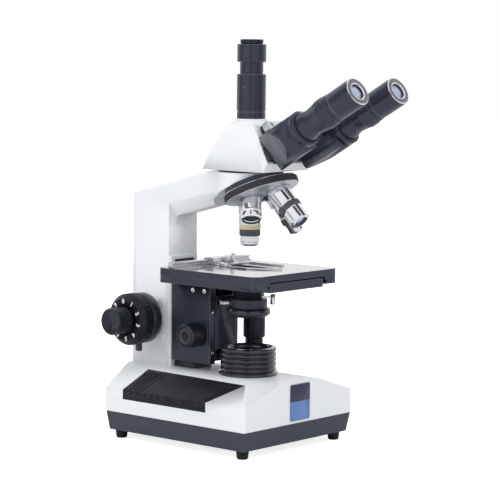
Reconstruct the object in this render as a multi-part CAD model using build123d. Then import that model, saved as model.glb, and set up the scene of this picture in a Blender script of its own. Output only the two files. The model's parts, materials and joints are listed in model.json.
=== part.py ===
from build123d import *
from math import atan, cos, degrees, hypot, pi, radians, sin, sqrt, tan
import os

os.makedirs("parts", exist_ok=True)

# Every size is in millimetres. Here x = 0 and y = 0 lie on the optical axis of the objective in use and
# z = 0 is the bench. The parts are saved moved back by OPTIC_Y, so the middle of the outline is the origin.
OPTIC_Y = 12.0

# Clearances
RUN = 0.04        # radial clearance of a shaft or pin that turns
SLIDE = 0.1       # clearance of a guided slide, each face
GAP = 0.3         # air between curved faces of different bodies
SEAT = 0.1        # clearance of a thread or spigot in its bore

# Base
BASE_HALF = 85.5
BASE_FRONT = -68.8
BASE_SIDE_END = 122.0
BASE_REAR = 146.0
REAR_HALF = 22.0
FOOT_H = 8.9
PLINTH_TOP = 28.7
SIDE_TOP = 53.2
DECK = 71.0
DECK_HALF = 30.4
PLINTH_INSET = 3.0
WALL = 4.0
PAD_FRONT = -17.0
PAD_REAR_SIDE = 97.0
PAD_LOW = 43.2
PAD_IN = ((42.0, -32.0), (38.7, 105.4))      # inner edge of a hand pad, front and rear
PAD_T = 2.2
PAD_PITCH = 3.0
PAD_GROOVE = 0.35
PAD_RIM = 5.0
FOOT_X = 72.5
FOOT_Y = (-55.7, 110.8)
SCREW_X = 48.0
SCREW_Y = (-54.0, 112.0)
DIAL_R = 12.5
DIAL_AT = (BASE_HALF - 10.0, -44.0)
DIAL_Z = (36.0, 42.5)
INLET_Z = 41.0
ROCKER_Z = 41.0
ROCKER_HALF = 8.1

# Lamp
COLLAR_R = 30.4
COLLAR_TOP = 99.5
COLLAR_BORE = 21.5

# Arm and column
ARM_HALF = 21.9
COL_FRONT = 92.7
ARM_TOP_REAR = 252.3
ARM_SLOPE = 0.262
HEAD_SEAT = 280.0
INNER_Z = 242.7
CHAMFER_X = 10.0
CHAMFER_Z = 13.5
BOSS_R = 34.0
GUIDE_TOP = 187.5

# Nosepiece: objectives point down from one apex, and the turret turns about a tilted axis
APEX = (0.0, 0.0, 296.5)
TILT = radians(23.3)
MOUNT_T = (28.0, 33.0)
GRIP_T = (33.4, 40.7)
GRIP_R = 39.2
SHOULDER = 48.5
OBJECTIVE_TIP = 93.1

# Focus
FOCUS_Y = 118.0
FOCUS_Z = 121.5
RACK_Y = 112.0
PINION_TEETH = 15
MODULE = 0.8
PITCH_R = PINION_TEETH * MODULE / 2
COARSE_R = 27.2
COARSE_FACE = 61.9
RING_X = (31.6, 44.0)
FINE_R = 14.15
FINE_END = 83.3

# Stage and condenser
STAGE_HALF = 65.5
STAGE_FRONT = -64.5
STAGE_REAR = 68.0
WORK_GAP = 22.5      # from the stage to the tip of the objective in use
STAGE_T = 7.0
STAGE_TOP = APEX[2] - OBJECTIVE_TIP - WORK_GAP
STAGE_SLAB = STAGE_TOP - STAGE_T
STAGE_RAIL = STAGE_SLAB - 8.0
RAIL_IN = 43.5
LOWER_HALF = 42.9
LOWER_Z = (STAGE_SLAB - 10.4, STAGE_SLAB - 1.4)
BRACKET_FRONT = 36.6
BRACKET_REAR = 88.6
BRACKET_LOW = 79.0
SLIDE_HALF = 13.5
SLIDE_FRONT = 32.2
SLIDE_BACK = 44.8
SLIDE_Z = (94.0, 150.0)
CK_Y = 50.8
CK_Z = 108.9
DRIVE = (52.0, 37.0)
TONGUE_X = RAIL_IN + 3.7
TONGUE_Z = (STAGE_SLAB - 6.3, STAGE_SLAB - 3.3)
DRIVE_JOINT = STAGE_SLAB - 45.9   # top of the upper drive knob
CLIP_PIVOT = (-2.5, 38.5)

# Stage carrier and condenser
GIB_TOP = 142.0
FLANGE_HALF = 15.5
MOUNT_Z = (140.0, 149.0)
IRIS_Z = (149.4, 152.6)
IRIS_ANGLE = radians(-48.0)
CLAMP_Z = 145.5
CLAMP_ANGLE = radians(143.0)
FILTER_PIVOT = (21.4, 12.4)

# Head and tubes
RING_TOP = 282.0
HEAD_HALF = 35.0
HEAD_DRAFT = radians(6.0)
HOOD_SLOPE = 1.16
HEAD_TOP = 331.5
TUBE_ANGLE = radians(30.0)
TUBE_X = 32.4
TUBE_Y = -49.7
TUBE_Z = 301.0
HOUSING_LEN = 56.5
HOUSING_R = 18.5
FLAT_IN = 17.0
EYE_END = 129.7
EYE_R = 14.6
PHOTO_R = 14.8
TOTAL_H = 414.5
PHOTO_H = TOTAL_H - HEAD_TOP
TUBE_TOP = HEAD_TOP + 0.575 * PHOTO_H      # joint of the photo tube and its adapter
BED_T = 3.5
WHEEL_X = -17.0
WHEEL_V = 27.6

LOW = (Align.CENTER, Align.CENTER, Align.MIN)


def cyl(r, z0, z1, x=0.0, y=0.0):
    return Pos(x, y, z0) * Cylinder(r, z1 - z0, align=LOW)


def xcyl(r, x0, x1, y, z):
    return Pos(min(x0, x1), y, z) * Rot(0, 90, 0) * Cylinder(r, abs(x1 - x0), align=LOW)


def ycyl(r, y0, y1, x, z):
    return Pos(x, max(y0, y1), z) * Rot(90, 0, 0) * Cylinder(r, abs(y1 - y0), align=LOW)


def box(x0, x1, y0, y1, z0, z1):
    return Pos((x0 + x1) / 2, (y0 + y1) / 2, (z0 + z1) / 2) * Box(abs(x1 - x0), abs(y1 - y0), abs(z1 - z0))


def both(shape):
    """The shape and its mirror image on the other side of the plane x = 0."""
    return shape + mirror(shape, Plane.YZ)


def turned(profile):
    """A solid of revolution about Z from (radius, height) points."""
    return revolve(make_face(Polyline(*[(r, 0, h) for r, h in profile], close=True)), Axis.Z)


def prism(plane, points, amount):
    return extrude(plane * make_face(Polyline(*points, close=True)), amount, dir=plane.z_dir)


def side_prism(points, half):
    """A prism across the microscope from (y, z) points, as wide as half to each side."""
    return prism(Plane(origin=(-half, 0, 0), x_dir=(0, 1, 0), z_dir=(1, 0, 0)), points, 2 * half)


def flat_prism(points, z0, z1):
    return prism(Plane(origin=(0, 0, z0)), points, z1 - z0)


def beyond(point, normal, size=400.0):
    """Everything past the plane through point, on the side that normal points to."""
    return Plane(origin=point, z_dir=normal) * Box(size, size, size / 2, align=LOW)


def around(shape, n, axis=Axis.Z, start=0.0):
    return [shape.rotate(axis, start + 360.0 * i / n) for i in range(n)]


def gear(r, teeth, width):
    """A spur pinion on Z with straight-sided teeth, one tooth on +X."""
    module = 2 * r / teeth
    root = r - 1.2 * module
    tip = r + 0.9 * module
    half = 0.235 * pi * module
    tooth = prism(Plane.XY, [(root - 0.5, -1.45 * half), (r, -half), (tip, -0.5 * half),
                             (tip, 0.5 * half), (r, half), (root - 0.5, 1.45 * half)], width)
    return cyl(root, 0, width) + around(tooth, teeth)


def rack_teeth(r, teeth, length, width, depth):
    """A rack along Z whose teeth point to +Y with the pitch line at y = 0 and a gap centred at z = 0."""
    module = 2 * r / teeth
    pitch = pi * module
    half = 0.235 * pitch
    root = -1.2 * module
    tip = 0.8 * module
    count = int(length / pitch / 2)
    shape = box(-width / 2, width / 2, root - depth, root, -length / 2, length / 2)
    tooth = Plane(origin=(-width / 2, 0, 0), x_dir=(0, 1, 0), z_dir=(1, 0, 0))
    outline = [(root - 0.2, -1.45 * half), (0, -half), (tip, -0.55 * half),
               (tip, 0.55 * half), (0, half), (root - 0.2, 1.45 * half)]
    one = prism(tooth, outline, width)
    return shape + [Pos(0, 0, (i + 0.5) * pitch) * one for i in range(-count, count)]


def knurl(r, z0, z1, count, depth=0.5, width=None):
    """Straight flutes cut into a drum, as a tool to take away."""
    cut = width or 0.5 * 2 * pi * r / count
    return around(Pos(r, 0, (z0 + z1) / 2) * Rot(0, 0, 45) * Box(cut / sqrt(2), cut / sqrt(2), z1 - z0), count)


def save(name, shape):
    export_step(Pos(0, OPTIC_Y, 0) * shape, f"parts/{name}.step")


# Base

def base_outline(inset):
    """Half the plan of the base, front corner to rear corner, moved inwards by inset."""
    turn = atan((BASE_REAR - BASE_SIDE_END) / (BASE_HALF - REAR_HALF))
    side_end = BASE_SIDE_END - inset * tan((pi / 2 - turn) / 2)
    rear_half = REAR_HALF - inset * tan(turn / 2)
    return [(BASE_HALF - inset, BASE_FRONT + inset), (BASE_HALF - inset, side_end),
            (rear_half, BASE_REAR - inset)]


def base_plan(inset, z0, z1):
    half = base_outline(inset)
    return flat_prism(half + [(-x, y) for x, y in reversed(half)], z0, z1)


def roof(inset, low=PLINTH_TOP):
    """The base seen from the front: level deck, two sloping shoulders, upright sides."""
    slope = atan((DECK - SIDE_TOP) / (BASE_HALF - DECK_HALF))
    side = (BASE_HALF - inset, SIDE_TOP - inset * tan((pi / 2 - slope) / 2))
    deck = (DECK_HALF - inset * tan(slope / 2), DECK - inset)
    points = [(side[0], low), side, deck, (-deck[0], deck[1]), (-side[0], side[1]), (-side[0], low)]
    face = Plane(origin=(0, 160, 0), x_dir=(1, 0, 0), z_dir=(0, -1, 0))
    return prism(face, points, 240)


def pad_area(side=0.0):
    """Plan of one hand pad, grown by side."""
    (front_x, front_y), (rear_x, rear_y) = PAD_IN
    return flat_prism([(front_x - side, front_y - side), (BASE_HALF + 1, PAD_FRONT - side),
                       (BASE_HALF + 1, PAD_REAR_SIDE + side), (rear_x - side, rear_y + side)],
                      PAD_LOW - side, DECK + 2)


REAR_FACE = Plane(origin=((BASE_HALF + REAR_HALF) / 2, (BASE_SIDE_END + BASE_REAR) / 2, ROCKER_Z),
                  x_dir=(REAR_HALF - BASE_HALF, BASE_REAR - BASE_SIDE_END, 0),
                  z_dir=(BASE_REAR - BASE_SIDE_END, BASE_HALF - REAR_HALF, 0))


def base_housing():
    body = roof(0) & base_plan(0, PLINTH_TOP, DECK)
    upright = body.edges().filter_by(Axis.Z)
    body = fillet(upright.sort_by(Axis.Y)[:2], 2.5)
    body -= roof(WALL, PLINTH_TOP - 1) & base_plan(WALL, PLINTH_TOP - 1, DECK)
    body -= both((roof(-1) - roof(PAD_T, PLINTH_TOP - 2)) & pad_area())
    boss = roof(WALL - 1) & both(cyl(5.5, PLINTH_TOP, DECK, SCREW_X, SCREW_Y[0])
                                 + cyl(5.5, PLINTH_TOP, DECK, SCREW_X, SCREW_Y[1]))
    body += boss
    body -= both(cyl(2.1, PLINTH_TOP - 1, PLINTH_TOP + 16, SCREW_X, SCREW_Y[0])
                 + cyl(2.1, PLINTH_TOP - 1, PLINTH_TOP + 16, SCREW_X, SCREW_Y[1]))
    body -= cyl(COLLAR_BORE - 2, DECK - WALL - 1, DECK + 1)
    body -= box(DIAL_AT[0], BASE_HALF + 1, DIAL_AT[1] - 11.6, DIAL_AT[1] + 11.6, DIAL_Z[0] - 0.6, DIAL_Z[1] + 0.6)
    body -= box(-13.6, 13.6, BASE_REAR - WALL - 1, BASE_REAR + 1, INLET_Z - 10, INLET_Z + 10)
    body -= REAR_FACE * Box(19.4, 13.0, 12)
    body -= ycyl(15, COL_FRONT + 10, BASE_REAR - 10, 0, DECK) & box(-8, 8, 100, 138, DECK - WALL - 1, DECK + 1)
    return body


def base_plinth():
    """A tray under the housing, drawn in towards the floor."""
    def slab(top_inset, bottom_inset, z0, z1):
        faces = []
        for inset, z in ((bottom_inset, z0), (top_inset, z1)):
            half = base_outline(inset)
            faces.append(Pos(0, 0, z) * make_face(Polyline(*(half + [(-x, y) for x, y in reversed(half)]),
                                                           close=True)))
        return loft(faces, ruled=True)

    body = slab(0.8, 0.8 + PLINTH_INSET, FOOT_H, PLINTH_TOP)
    body -= slab(5.0, 7.0, FOOT_H + WALL, PLINTH_TOP + 0.01)
    for y in SCREW_Y:
        body += both(cyl(6.5, FOOT_H, PLINTH_TOP, SCREW_X, y))
        body -= both(cyl(2.4, FOOT_H - 1, PLINTH_TOP + 1, SCREW_X, y) + cyl(4.6, FOOT_H - 1, FOOT_H + 6, SCREW_X, y))
    slots = [box(-26, 26, 30 + 9 * i, 34 + 9 * i, FOOT_H - 1, FOOT_H + WALL + 1) for i in range(6)]
    body -= slots
    body += cyl(13, FOOT_H + WALL - 1, 24, 0, 0)
    return body


def feet():
    foot = turned([(2.4, 0), (4.8, 0), (5.6, 0.9), (6.6, FOOT_H), (0, FOOT_H), (0, 3.5), (2.4, 3.5)])
    return [Pos(sx * FOOT_X, y, 0) * foot for y in FOOT_Y for sx in (-1, 1)]


def hand_pads():
    """Two soft pads let into the shoulders, finely grooved inside a plain rim."""
    pad = (roof(0) - roof(PAD_T, PLINTH_TOP - 2)) & pad_area(-0.1)
    first = PAD_IN[0][1]
    count = int((PAD_IN[1][1] - first) / PAD_PITCH)
    cuts = Part() + [box(PAD_IN[1][0], BASE_HALF + 2, y, y + 0.35 * PAD_PITCH, PAD_LOW, DECK + 2)
                     for y in [first + PAD_PITCH * i for i in range(count)]]
    pad -= (roof(0) - roof(PAD_GROOVE, PLINTH_TOP - 2)) & pad_area(-PAD_RIM) & cuts
    return both(pad)


def front_plate():
    plate = Pos(0, BASE_FRONT - 0.6, 50) * Box(30, 1.2, 37)
    return fillet(plate.edges().filter_by(Axis.Y), 2.0)


def base_screws():
    screw = turned([(0, 0), (4.2, 0), (4.2, 4.6), (2.0, 4.6), (2.0, 28), (0, 28)])
    screw -= Box(6, 1.2, 2.4)
    return [Pos(sx * SCREW_X, y, FOOT_H + 1.4) * screw for y in SCREW_Y for sx in (-1, 1)]


def lamp_collar():
    """A tube with rounded ribs round it and a recessed mouth for the field lens."""
    profile = [(COLLAR_BORE, DECK), (COLLAR_R, DECK), (COLLAR_R, DECK + 3.2)]
    ribs = 5
    rib_r = COLLAR_R - 1.5
    pitch = (COLLAR_TOP - DECK - 3.2) / ribs
    for i in range(ribs):
        z = DECK + 3.2 + pitch * i
        profile += [(rib_r - 1.8, z), (rib_r - 1.8, z + 0.9), (rib_r - 0.5, z + 1.3),
                    (rib_r, z + 2.2), (rib_r, z + pitch - 1.0), (rib_r - 0.5, z + pitch - 0.2)]
    profile += [(rib_r - 1.5, COLLAR_TOP), (COLLAR_BORE + 2.6, COLLAR_TOP),
                (COLLAR_BORE + 0.6, COLLAR_TOP - 2.4), (COLLAR_BORE + 0.6, DECK + 19), (COLLAR_BORE, DECK + 19)]
    return turned(profile)


def field_lens():
    r = COLLAR_BORE + 0.5
    return turned([(0, DECK + 19), (r, DECK + 19), (r, DECK + 21), (0.75 * r, DECK + 23.2),
                   (0.45 * r, DECK + 24.6), (0, DECK + 25.2)])


def lamp():
    socket = cyl(9, 24, 44) - cyl(4.5, 38, 45)
    bulb = turned([(0, 38), (4.4, 38), (4.4, 50), (3.6, 54), (2.0, 56), (0, 56.6)])
    return [socket, bulb]


def power_inlet():
    y = BASE_REAR
    body = box(-13.4, 13.4, y - 20, y, INLET_Z - 9.8, INLET_Z + 9.8)
    body += box(-15.5, 15.5, y, y + 2, INLET_Z - 11.6, INLET_Z + 11.6)
    mouth = prism(Plane(origin=(0, y + 3, INLET_Z), x_dir=(1, 0, 0), z_dir=(0, -1, 0)),
                  [(-11.9, -8), (11.9, -8), (11.9, 3.4), (7.8, 8), (-7.8, 8), (-11.9, 3.4)], 18)
    body -= mouth
    for x, dz in ((-7, -2), (7, -2), (0, 2.2)):
        body += box(x - 1, x + 1, y - 15.5, y - 2, INLET_Z + dz - 2, INLET_Z + dz + 2)
    return body


def power_switch():
    """A rocker on a pin across its frame: the frame stays, the rocker tips."""
    return REAR_FACE * (side_rocker() + Rot(90, 0, 0) * Cylinder(1.4, 12.2))


def side_rocker():
    face = Plane(origin=(0, 5.2, 0), x_dir=(1, 0, 0), z_dir=(0, -1, 0))
    outline = [(-ROCKER_HALF, -3), (ROCKER_HALF, -3), (ROCKER_HALF, 2.6), (0, 1.0), (-ROCKER_HALF, 0.4)]
    return prism(face, outline, 10.4)


def switch_frame():
    frame = Box(19.2, 12.8, 8, align=(Align.CENTER, Align.CENTER, Align.MAX))
    frame += Pos(0, 0, 0.75) * Box(21.4, 15, 1.5)
    frame -= Pos(0, 0, -6.6) * Box(17.4, 11.0, 20, align=LOW)
    frame -= Rot(90, 0, 0) * Cylinder(1.4 + RUN, 12.4)
    return REAR_FACE * frame


def brightness_dial():
    x, y = DIAL_AT
    wheel = cyl(DIAL_R, DIAL_Z[0], DIAL_Z[1]) - knurl(DIAL_R, DIAL_Z[0] - 1, DIAL_Z[1] + 1, 30, width=0.9)
    wheel += cyl(3, DIAL_Z[0] - 4, DIAL_Z[1])
    return Pos(x, y, 0) * wheel


save("base_housing", base_housing())
save("base_plinth", base_plinth())
save("feet", Compound(feet()))
save("hand_pads", hand_pads())
save("front_plate", front_plate())
save("base_screws", Compound(base_screws()))
save("lamp_collar", lamp_collar())
save("field_lens", field_lens())
save("lamp", Compound(lamp()))
save("power_inlet", power_inlet())
save("power_switch", power_switch())
save("switch_frame", switch_frame())
save("brightness_dial", brightness_dial())


# Arm

def top_line(y):
    return ARM_TOP_REAR + ARM_SLOPE * (BASE_REAR - y)


def under_line(y):
    return INNER_Z - CHAMFER_Z + ARM_SLOPE * (COL_FRONT - y)


def down_axis(t):
    """The point t millimetres from the apex along the turret axis."""
    return (0, -t * sin(TILT), APEX[2] - t * cos(TILT))


def mount_plane_z(y, t=MOUNT_T[0]):
    return APEX[2] - (t + y * sin(TILT)) / cos(TILT)


AXIS_DOWN = (0, -sin(TILT), -cos(TILT))
TURRET_PLANE = Plane(origin=APEX, x_dir=(1, 0, 0), z_dir=AXIS_DOWN)


def arm():
    """Column and beam in one casting, ending in a round boss over the nosepiece."""
    seat_start = BASE_REAR - (HEAD_SEAT - ARM_TOP_REAR) / ARM_SLOPE
    bend = 5.0
    outline = [(COL_FRONT, DECK), (BASE_REAR, DECK), (BASE_REAR, ARM_TOP_REAR), (seat_start, HEAD_SEAT),
               (0, HEAD_SEAT), (0, mount_plane_z(0)), (35, mount_plane_z(35)), (37.5, under_line(37.5)),
               (COL_FRONT - bend, under_line(COL_FRONT - bend)),
               (COL_FRONT - 0.3 * bend, under_line(COL_FRONT) - 0.25 * bend),
               (COL_FRONT, under_line(COL_FRONT) - bend)]
    body = side_prism(outline, ARM_HALF)
    rear = body.edges().filter_by(Axis.Z).sort_by(Axis.Y)[-2:]
    slope = [e for e in body.edges() if abs(e.center().X) > ARM_HALF - 1
             and abs(e.center().Y - (BASE_REAR + seat_start) / 2) < 0.5 and e.center().Z > ARM_TOP_REAR]
    back = [e for e in body.edges().filter_by(Axis.X) if abs(e.center().Z - ARM_TOP_REAR) < 0.1
            and abs(e.center().Y - BASE_REAR) < 0.1]
    body = fillet(rear + slope + back, 3.0)
    low = under_line(COL_FRONT)
    wedge = Plane(origin=(0, COL_FRONT + 0.01, 0), x_dir=(1, 0, 0), z_dir=(0, -1, 0)) * make_face(Polyline(
        (ARM_HALF - CHAMFER_X, low - 9), (ARM_HALF - CHAMFER_X, low),
        (ARM_HALF + 1, low + CHAMFER_Z * (CHAMFER_X + 1) / CHAMFER_X), (ARM_HALF + 1, low - 9), close=True))
    run = (COL_FRONT - 30) * hypot(1, ARM_SLOPE)
    body -= both(extrude(wedge, run, dir=(0, -1, ARM_SLOPE)))
    body += cyl(BOSS_R, 240, HEAD_SEAT) - beyond(down_axis(MOUNT_T[0]), AXIS_DOWN)
    frame = box(-ARM_HALF, ARM_HALF, COL_FRONT - 2.5, COL_FRONT + 1, DECK, GUIDE_TOP)
    body += chamfer(frame.edges().filter_by(Axis.Z).sort_by(Axis.Y)[:2], 2.0)
    pad = Pos(0, 118, 120.5) * Box(2 * ARM_HALF + 5.0, 48, 47)
    body += fillet(pad.edges().filter_by(Axis.X), 6.0)
    body -= box(-16.5, 16.5, 97, 140, DECK + 7, 192)
    body -= box(-15, 15, COL_FRONT - 4, 98, DECK + 7, GUIDE_TOP - 3.5)
    body -= xcyl(8.0, -30, 30, FOCUS_Y, FOCUS_Z)
    body -= cyl(8.0, 240, 300)
    body -= cyl(14.0 + RUN, 274.5, 300)
    body -= xcyl(2.0 + RUN, 10, 40, 2, 276.9)
    return body


def slide_guide():
    """The fixed guide plate in the front of the column, with its foot on the deck."""
    plate = box(-14.9, 14.9, COL_FRONT - 2.3, 97.0, DECK + 7.1, GUIDE_TOP - 3.6)
    plate -= box(-10, 10, 85, 99, 82, 174)
    foot = box(-14.5, 14.5, 62, COL_FRONT - 2.6, DECK, 77.0)
    foot = fillet(foot.edges().filter_by(Axis.Z).sort_by(Axis.Y)[:2], 4.0)
    neck = box(-9, 9, BRACKET_REAR + GAP, COL_FRONT - 2.6, 76, 81.5) + box(-9, 9, 89.5, 91, DECK + 7.1, 81.5)
    return plate + foot + neck


def focus_bushes():
    bush = xcyl(8.0, 15, 44, FOCUS_Y, FOCUS_Z) + xcyl(13.0, ARM_HALF + 2.5, RING_X[0] - 0.4, FOCUS_Y, FOCUS_Z)
    bush -= xcyl(5.0 + RUN, 10, 50, FOCUS_Y, FOCUS_Z)
    return both(bush)


def nosepiece_mount():
    ring = cyl(36.0, MOUNT_T[0], MOUNT_T[1]) + cyl(4.0, MOUNT_T[1] - 0.1, 48.6)
    ring += cyl(6.5, 46.9, 48.6)
    ring = TURRET_PLANE * ring
    return ring - cyl(8.0, 240, 300) - box(-40, 40, -60, 40, HEAD_SEAT - GAP, 320)


def head_lock_screw():
    screw = xcyl(2.0, 14.6, 36, 2, 276.9) + xcyl(4.6, 34.8, 44, 2, 276.9)
    grip = [Pos(0, 2 + 4.6 * cos(radians(a)), 276.9 + 4.6 * sin(radians(a))) * Rot(a, 0, 0) * Box(80, 0.7, 0.7)
            & xcyl(6, 36, 43, 2, 276.9) for a in range(0, 360, 20)]
    return screw - grip


save("arm", arm())
save("slide_guide", slide_guide())
save("focus_bushes", focus_bushes())
save("nosepiece_mount", nosepiece_mount())
save("head_lock_screw", head_lock_screw())


# Focus drive

def along_x(shape):
    """Turns a shape standing on Z so that Z becomes X, at the focus axis."""
    return Pos(0, FOCUS_Y, FOCUS_Z) * Rot(0, 90, 0) * shape


def coarse_block():
    """The block that climbs in the column, with its rack facing the pinion."""
    block = box(-9.9, 9.9, 89.2, 98, 88, 150)
    block += box(-13, 13, 97.1, 107, 88, 150)
    block -= box(-6.1, 6.1, 89, 96.1, 87, 151)
    pitch = pi * MODULE
    rack = rack_teeth(PITCH_R, PINION_TEETH, 44, 12, RACK_Y - 107 - 1.2 * MODULE)
    return block + Pos(0, RACK_Y, FOCUS_Z - 4 * pitch) * rack


def coarse_shaft():
    tube = cyl(5.0, -COARSE_FACE + 1, COARSE_FACE - 1)
    pinion = Pos(0, 0, -7) * gear(PITCH_R, PINION_TEETH, 14)
    pinion = pinion.rotate(Axis.Z, -90)
    return along_x(tube + pinion - cyl(3.0 + RUN, -80, 80))


def coarse_knobs():
    """Two large knobs with a bevelled, numbered face and a finely ribbed rim."""
    knob = turned([(5.0, 45), (22.0, 45), (22.0, 46.5), (COARSE_R - 1, 46.5), (COARSE_R, 47.5), (COARSE_R, 56.5),
                   (COARSE_R - 1.2, 57.6), (COARSE_R - 4.6, COARSE_FACE), (16.4, COARSE_FACE), (16.4, 58), (5.0, 58)])
    knob -= knurl(COARSE_R, 47.6, 56.4, 60, width=1.0)
    return both(along_x(knob))


def tension_ring():
    """The drum beside the left coarse knob that sets how stiffly it turns, with its peg."""
    ring = turned([(8.0 + RUN, RING_X[0]), (COARSE_R - 2, RING_X[0]), (COARSE_R - 0.6, RING_X[0] + 1.4),
                   (COARSE_R - 0.6, RING_X[1] - 0.6), (COARSE_R - 1.2, RING_X[1]), (COARSE_R - 5, RING_X[1]),
                   (COARSE_R - 5, RING_X[1] - 3), (8.0 + RUN, RING_X[1] - 3)])
    ring = mirror(along_x(ring), Plane.YZ)
    peg = chamfer(cyl(3.6, 86.8, 98, -40.0, FOCUS_Y).edges(), 0.8)
    return ring + peg


def fine_shaft():
    return along_x(cyl(3.0, -FINE_END + 2, FINE_END - 2))


def fine_knobs():
    start = COARSE_FACE + 0.5
    knob = turned([(3.0, start), (FINE_R - 2, start), (FINE_R - 1, start + 0.8), (FINE_R, start + 2.5),
                   (FINE_R, FINE_END - 1.5), (FINE_R - 1.2, FINE_END), (7.5, FINE_END), (7.0, FINE_END - 0.8),
                   (0, FINE_END - 0.8), (0, FINE_END - 2), (3.0, FINE_END - 2)])
    knob -= knurl(FINE_R, start + 2.6, FINE_END - 1.6, 44, width=0.8)
    return both(along_x(knob))


save("coarse_block", coarse_block())
save("coarse_shaft", coarse_shaft())
save("coarse_knobs", coarse_knobs())
save("tension_ring", tension_ring())
save("fine_shaft", fine_shaft())
save("fine_knobs", fine_knobs())


# Stage carrier and condenser

def stage_bracket():
    """The black carrier in front of the column, grooved for the condenser slide."""
    body = box(-ARM_HALF, ARM_HALF, BRACKET_FRONT, BRACKET_REAR, BRACKET_LOW, LOWER_Z[0])
    body = chamfer(body.edges().filter_by(Axis.Z), 1.2)
    body += box(-ARM_HALF, ARM_HALF, BRACKET_FRONT - 2.5, BRACKET_FRONT + 2, GIB_TOP + 0.3, LOWER_Z[0])
    body -= box(-SLIDE_HALF - SLIDE, SLIDE_HALF + SLIDE, 30, 40, BRACKET_LOW - 1, LOWER_Z[0] + 1)
    body -= box(-FLANGE_HALF - SLIDE, FLANGE_HALF + SLIDE, BRACKET_FRONT, SLIDE_BACK + SLIDE, BRACKET_LOW - 1,
                LOWER_Z[0] + 1)
    body -= box(-6.5, 6.5, SLIDE_BACK - 1, SLIDE_BACK + 1, BRACKET_LOW - 1, LOWER_Z[0] + 1)
    body -= xcyl(8.0, -7.4, 7.4, CK_Y, CK_Z)
    body -= xcyl(3.0 + RUN, -30, 14, CK_Y, CK_Z)
    body += box(-6.1 + SLIDE, 6.1 - SLIDE, BRACKET_REAR - 1, 96.0, 95, 150)
    body += both(box(11.5, 14.0, 60, 66, LOWER_Z[0], LOWER_Z[0] + 2.5))
    return body


def gib_strips():
    """Two strips that hold the condenser slide, their screws, and two levelling screws in the side."""
    strip = box(SLIDE_HALF + SLIDE, ARM_HALF, BRACKET_FRONT - 2.5, BRACKET_FRONT, BRACKET_LOW, GIB_TOP)
    screws = [ycyl(1.7, BRACKET_FRONT - 3.3, BRACKET_FRONT - 1.2, 18.3, z) for z in (91, 133)]
    strip -= screws
    levelling = [xcyl(2.3, -ARM_HALF - 1.6, -ARM_HALF, y, 155) - xcyl(1.1, -ARM_HALF - 2, -ARM_HALF - 0.6, y, 155)
                 for y in (57, 41)]
    parts = [strip, mirror(strip, Plane.YZ)] + screws + [mirror(s, Plane.YZ) for s in screws] + levelling
    return Compound([solid for part in parts for solid in part.solids()])


def stage_lower_plate():
    """The fixed stage plate, with guide tongues and the rack of the Y drive on its right edge."""
    z0, z1 = LOWER_Z
    plate = box(-LOWER_HALF, LOWER_HALF, STAGE_FRONT + 0.4, 84, z0, z1)
    plate = fillet(plate.edges().filter_by(Axis.Z), 3.0)
    plate += both(box(LOWER_HALF - 1, TONGUE_X, STAGE_FRONT + 6, 80, *TONGUE_Z))
    rack = rack_teeth(PITCH_R, PINION_TEETH, 46, 3.0, 0.6)
    rack = Plane(origin=(DRIVE[0] - PITCH_R, DRIVE[1], (TONGUE_Z[0] + TONGUE_Z[1]) / 2),
                 x_dir=(0, 0, 1), z_dir=(0, 1, 0)) * rack
    plate -= box(LOWER_HALF, TONGUE_X + 1, DRIVE[1] - 25, DRIVE[1] + 25, z0 - 1, z1 + 1)
    plate += rack
    plate += box(LOWER_HALF - 1, DRIVE[0] - PITCH_R - 1.2 * MODULE, DRIVE[1] - 25, DRIVE[1] + 25, *TONGUE_Z)
    plate -= cyl(17.0, z0 - 1, z1 + 1)
    plate -= both(box(11.4, 14.1, 59.9, 66.1, z0 - 1, z0 + 2.6))
    return plate


def condenser_slide():
    """Slide, arm and clamping ring of the condenser, with a rack on the back."""
    slide = box(-SLIDE_HALF, SLIDE_HALF, SLIDE_FRONT, BRACKET_FRONT + 1, *SLIDE_Z)
    slide += box(-FLANGE_HALF, FLANGE_HALF, BRACKET_FRONT + SLIDE, SLIDE_BACK, *SLIDE_Z)
    slide -= box(-6, 6, SLIDE_BACK - 1.2 * MODULE - 0.6, SLIDE_BACK + 1, SLIDE_Z[0] - 1, SLIDE_Z[1] + 1)
    pitch = pi * MODULE
    rack = Pos(0, SLIDE_BACK, CK_Z + 3 * pitch) * rack_teeth(PITCH_R, PINION_TEETH, 43, 12, 0.6)
    arm_web = box(-9, 9, 12, SLIDE_FRONT + 0.5, MOUNT_Z[0], MOUNT_Z[1])
    ring = cyl(18.7, *MOUNT_Z)
    body = slide + rack + arm_web + ring - cyl(15.8 + SEAT, MOUNT_Z[0] - 1, MOUNT_Z[1] + 1)
    body += clamp_place() * cyl(3.4, 17, 20.6)
    return body - clamp_place() * cyl(1.8 + RUN, 15, 25)


def condenser():
    """Condenser barrel with its flange, iris slot and top lens mount."""
    body = turned([(7.5, 136.0), (22.2, 136.0), (22.2, 138.6), (21.0, MOUNT_Z[0] - 0.1), (15.8, MOUNT_Z[0] - 0.1),
                   (15.8, 157), (13.2, 161), (13.0, 170), (9.6, 170), (9.6, 166.6), (7.5, 166.6)])
    body -= cyl(13.0, 149.2, 152.8) & box(-30, 30, -30, 30, 0, 400)
    slot = cyl(17, *IRIS_Z) - cyl(13.0, *IRIS_Z)
    body -= slot & flat_prism([(0, 0), (4, -40), (40, -40), (40, 4)], IRIS_Z[0], IRIS_Z[1])
    body += cyl(4.0, 136.0, 138.6, *FILTER_PIVOT)
    body += cyl(1.6, 131.6, 136.5, *FILTER_PIVOT)
    body += cyl(2.8, 130.4, 131.7, *FILTER_PIVOT)
    return body


def condenser_lens():
    return turned([(0, 166.6), (9.5, 166.6), (9.5, 168.4), (6.0, 169.3), (3.0, 169.6), (0, 169.7)])


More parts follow.
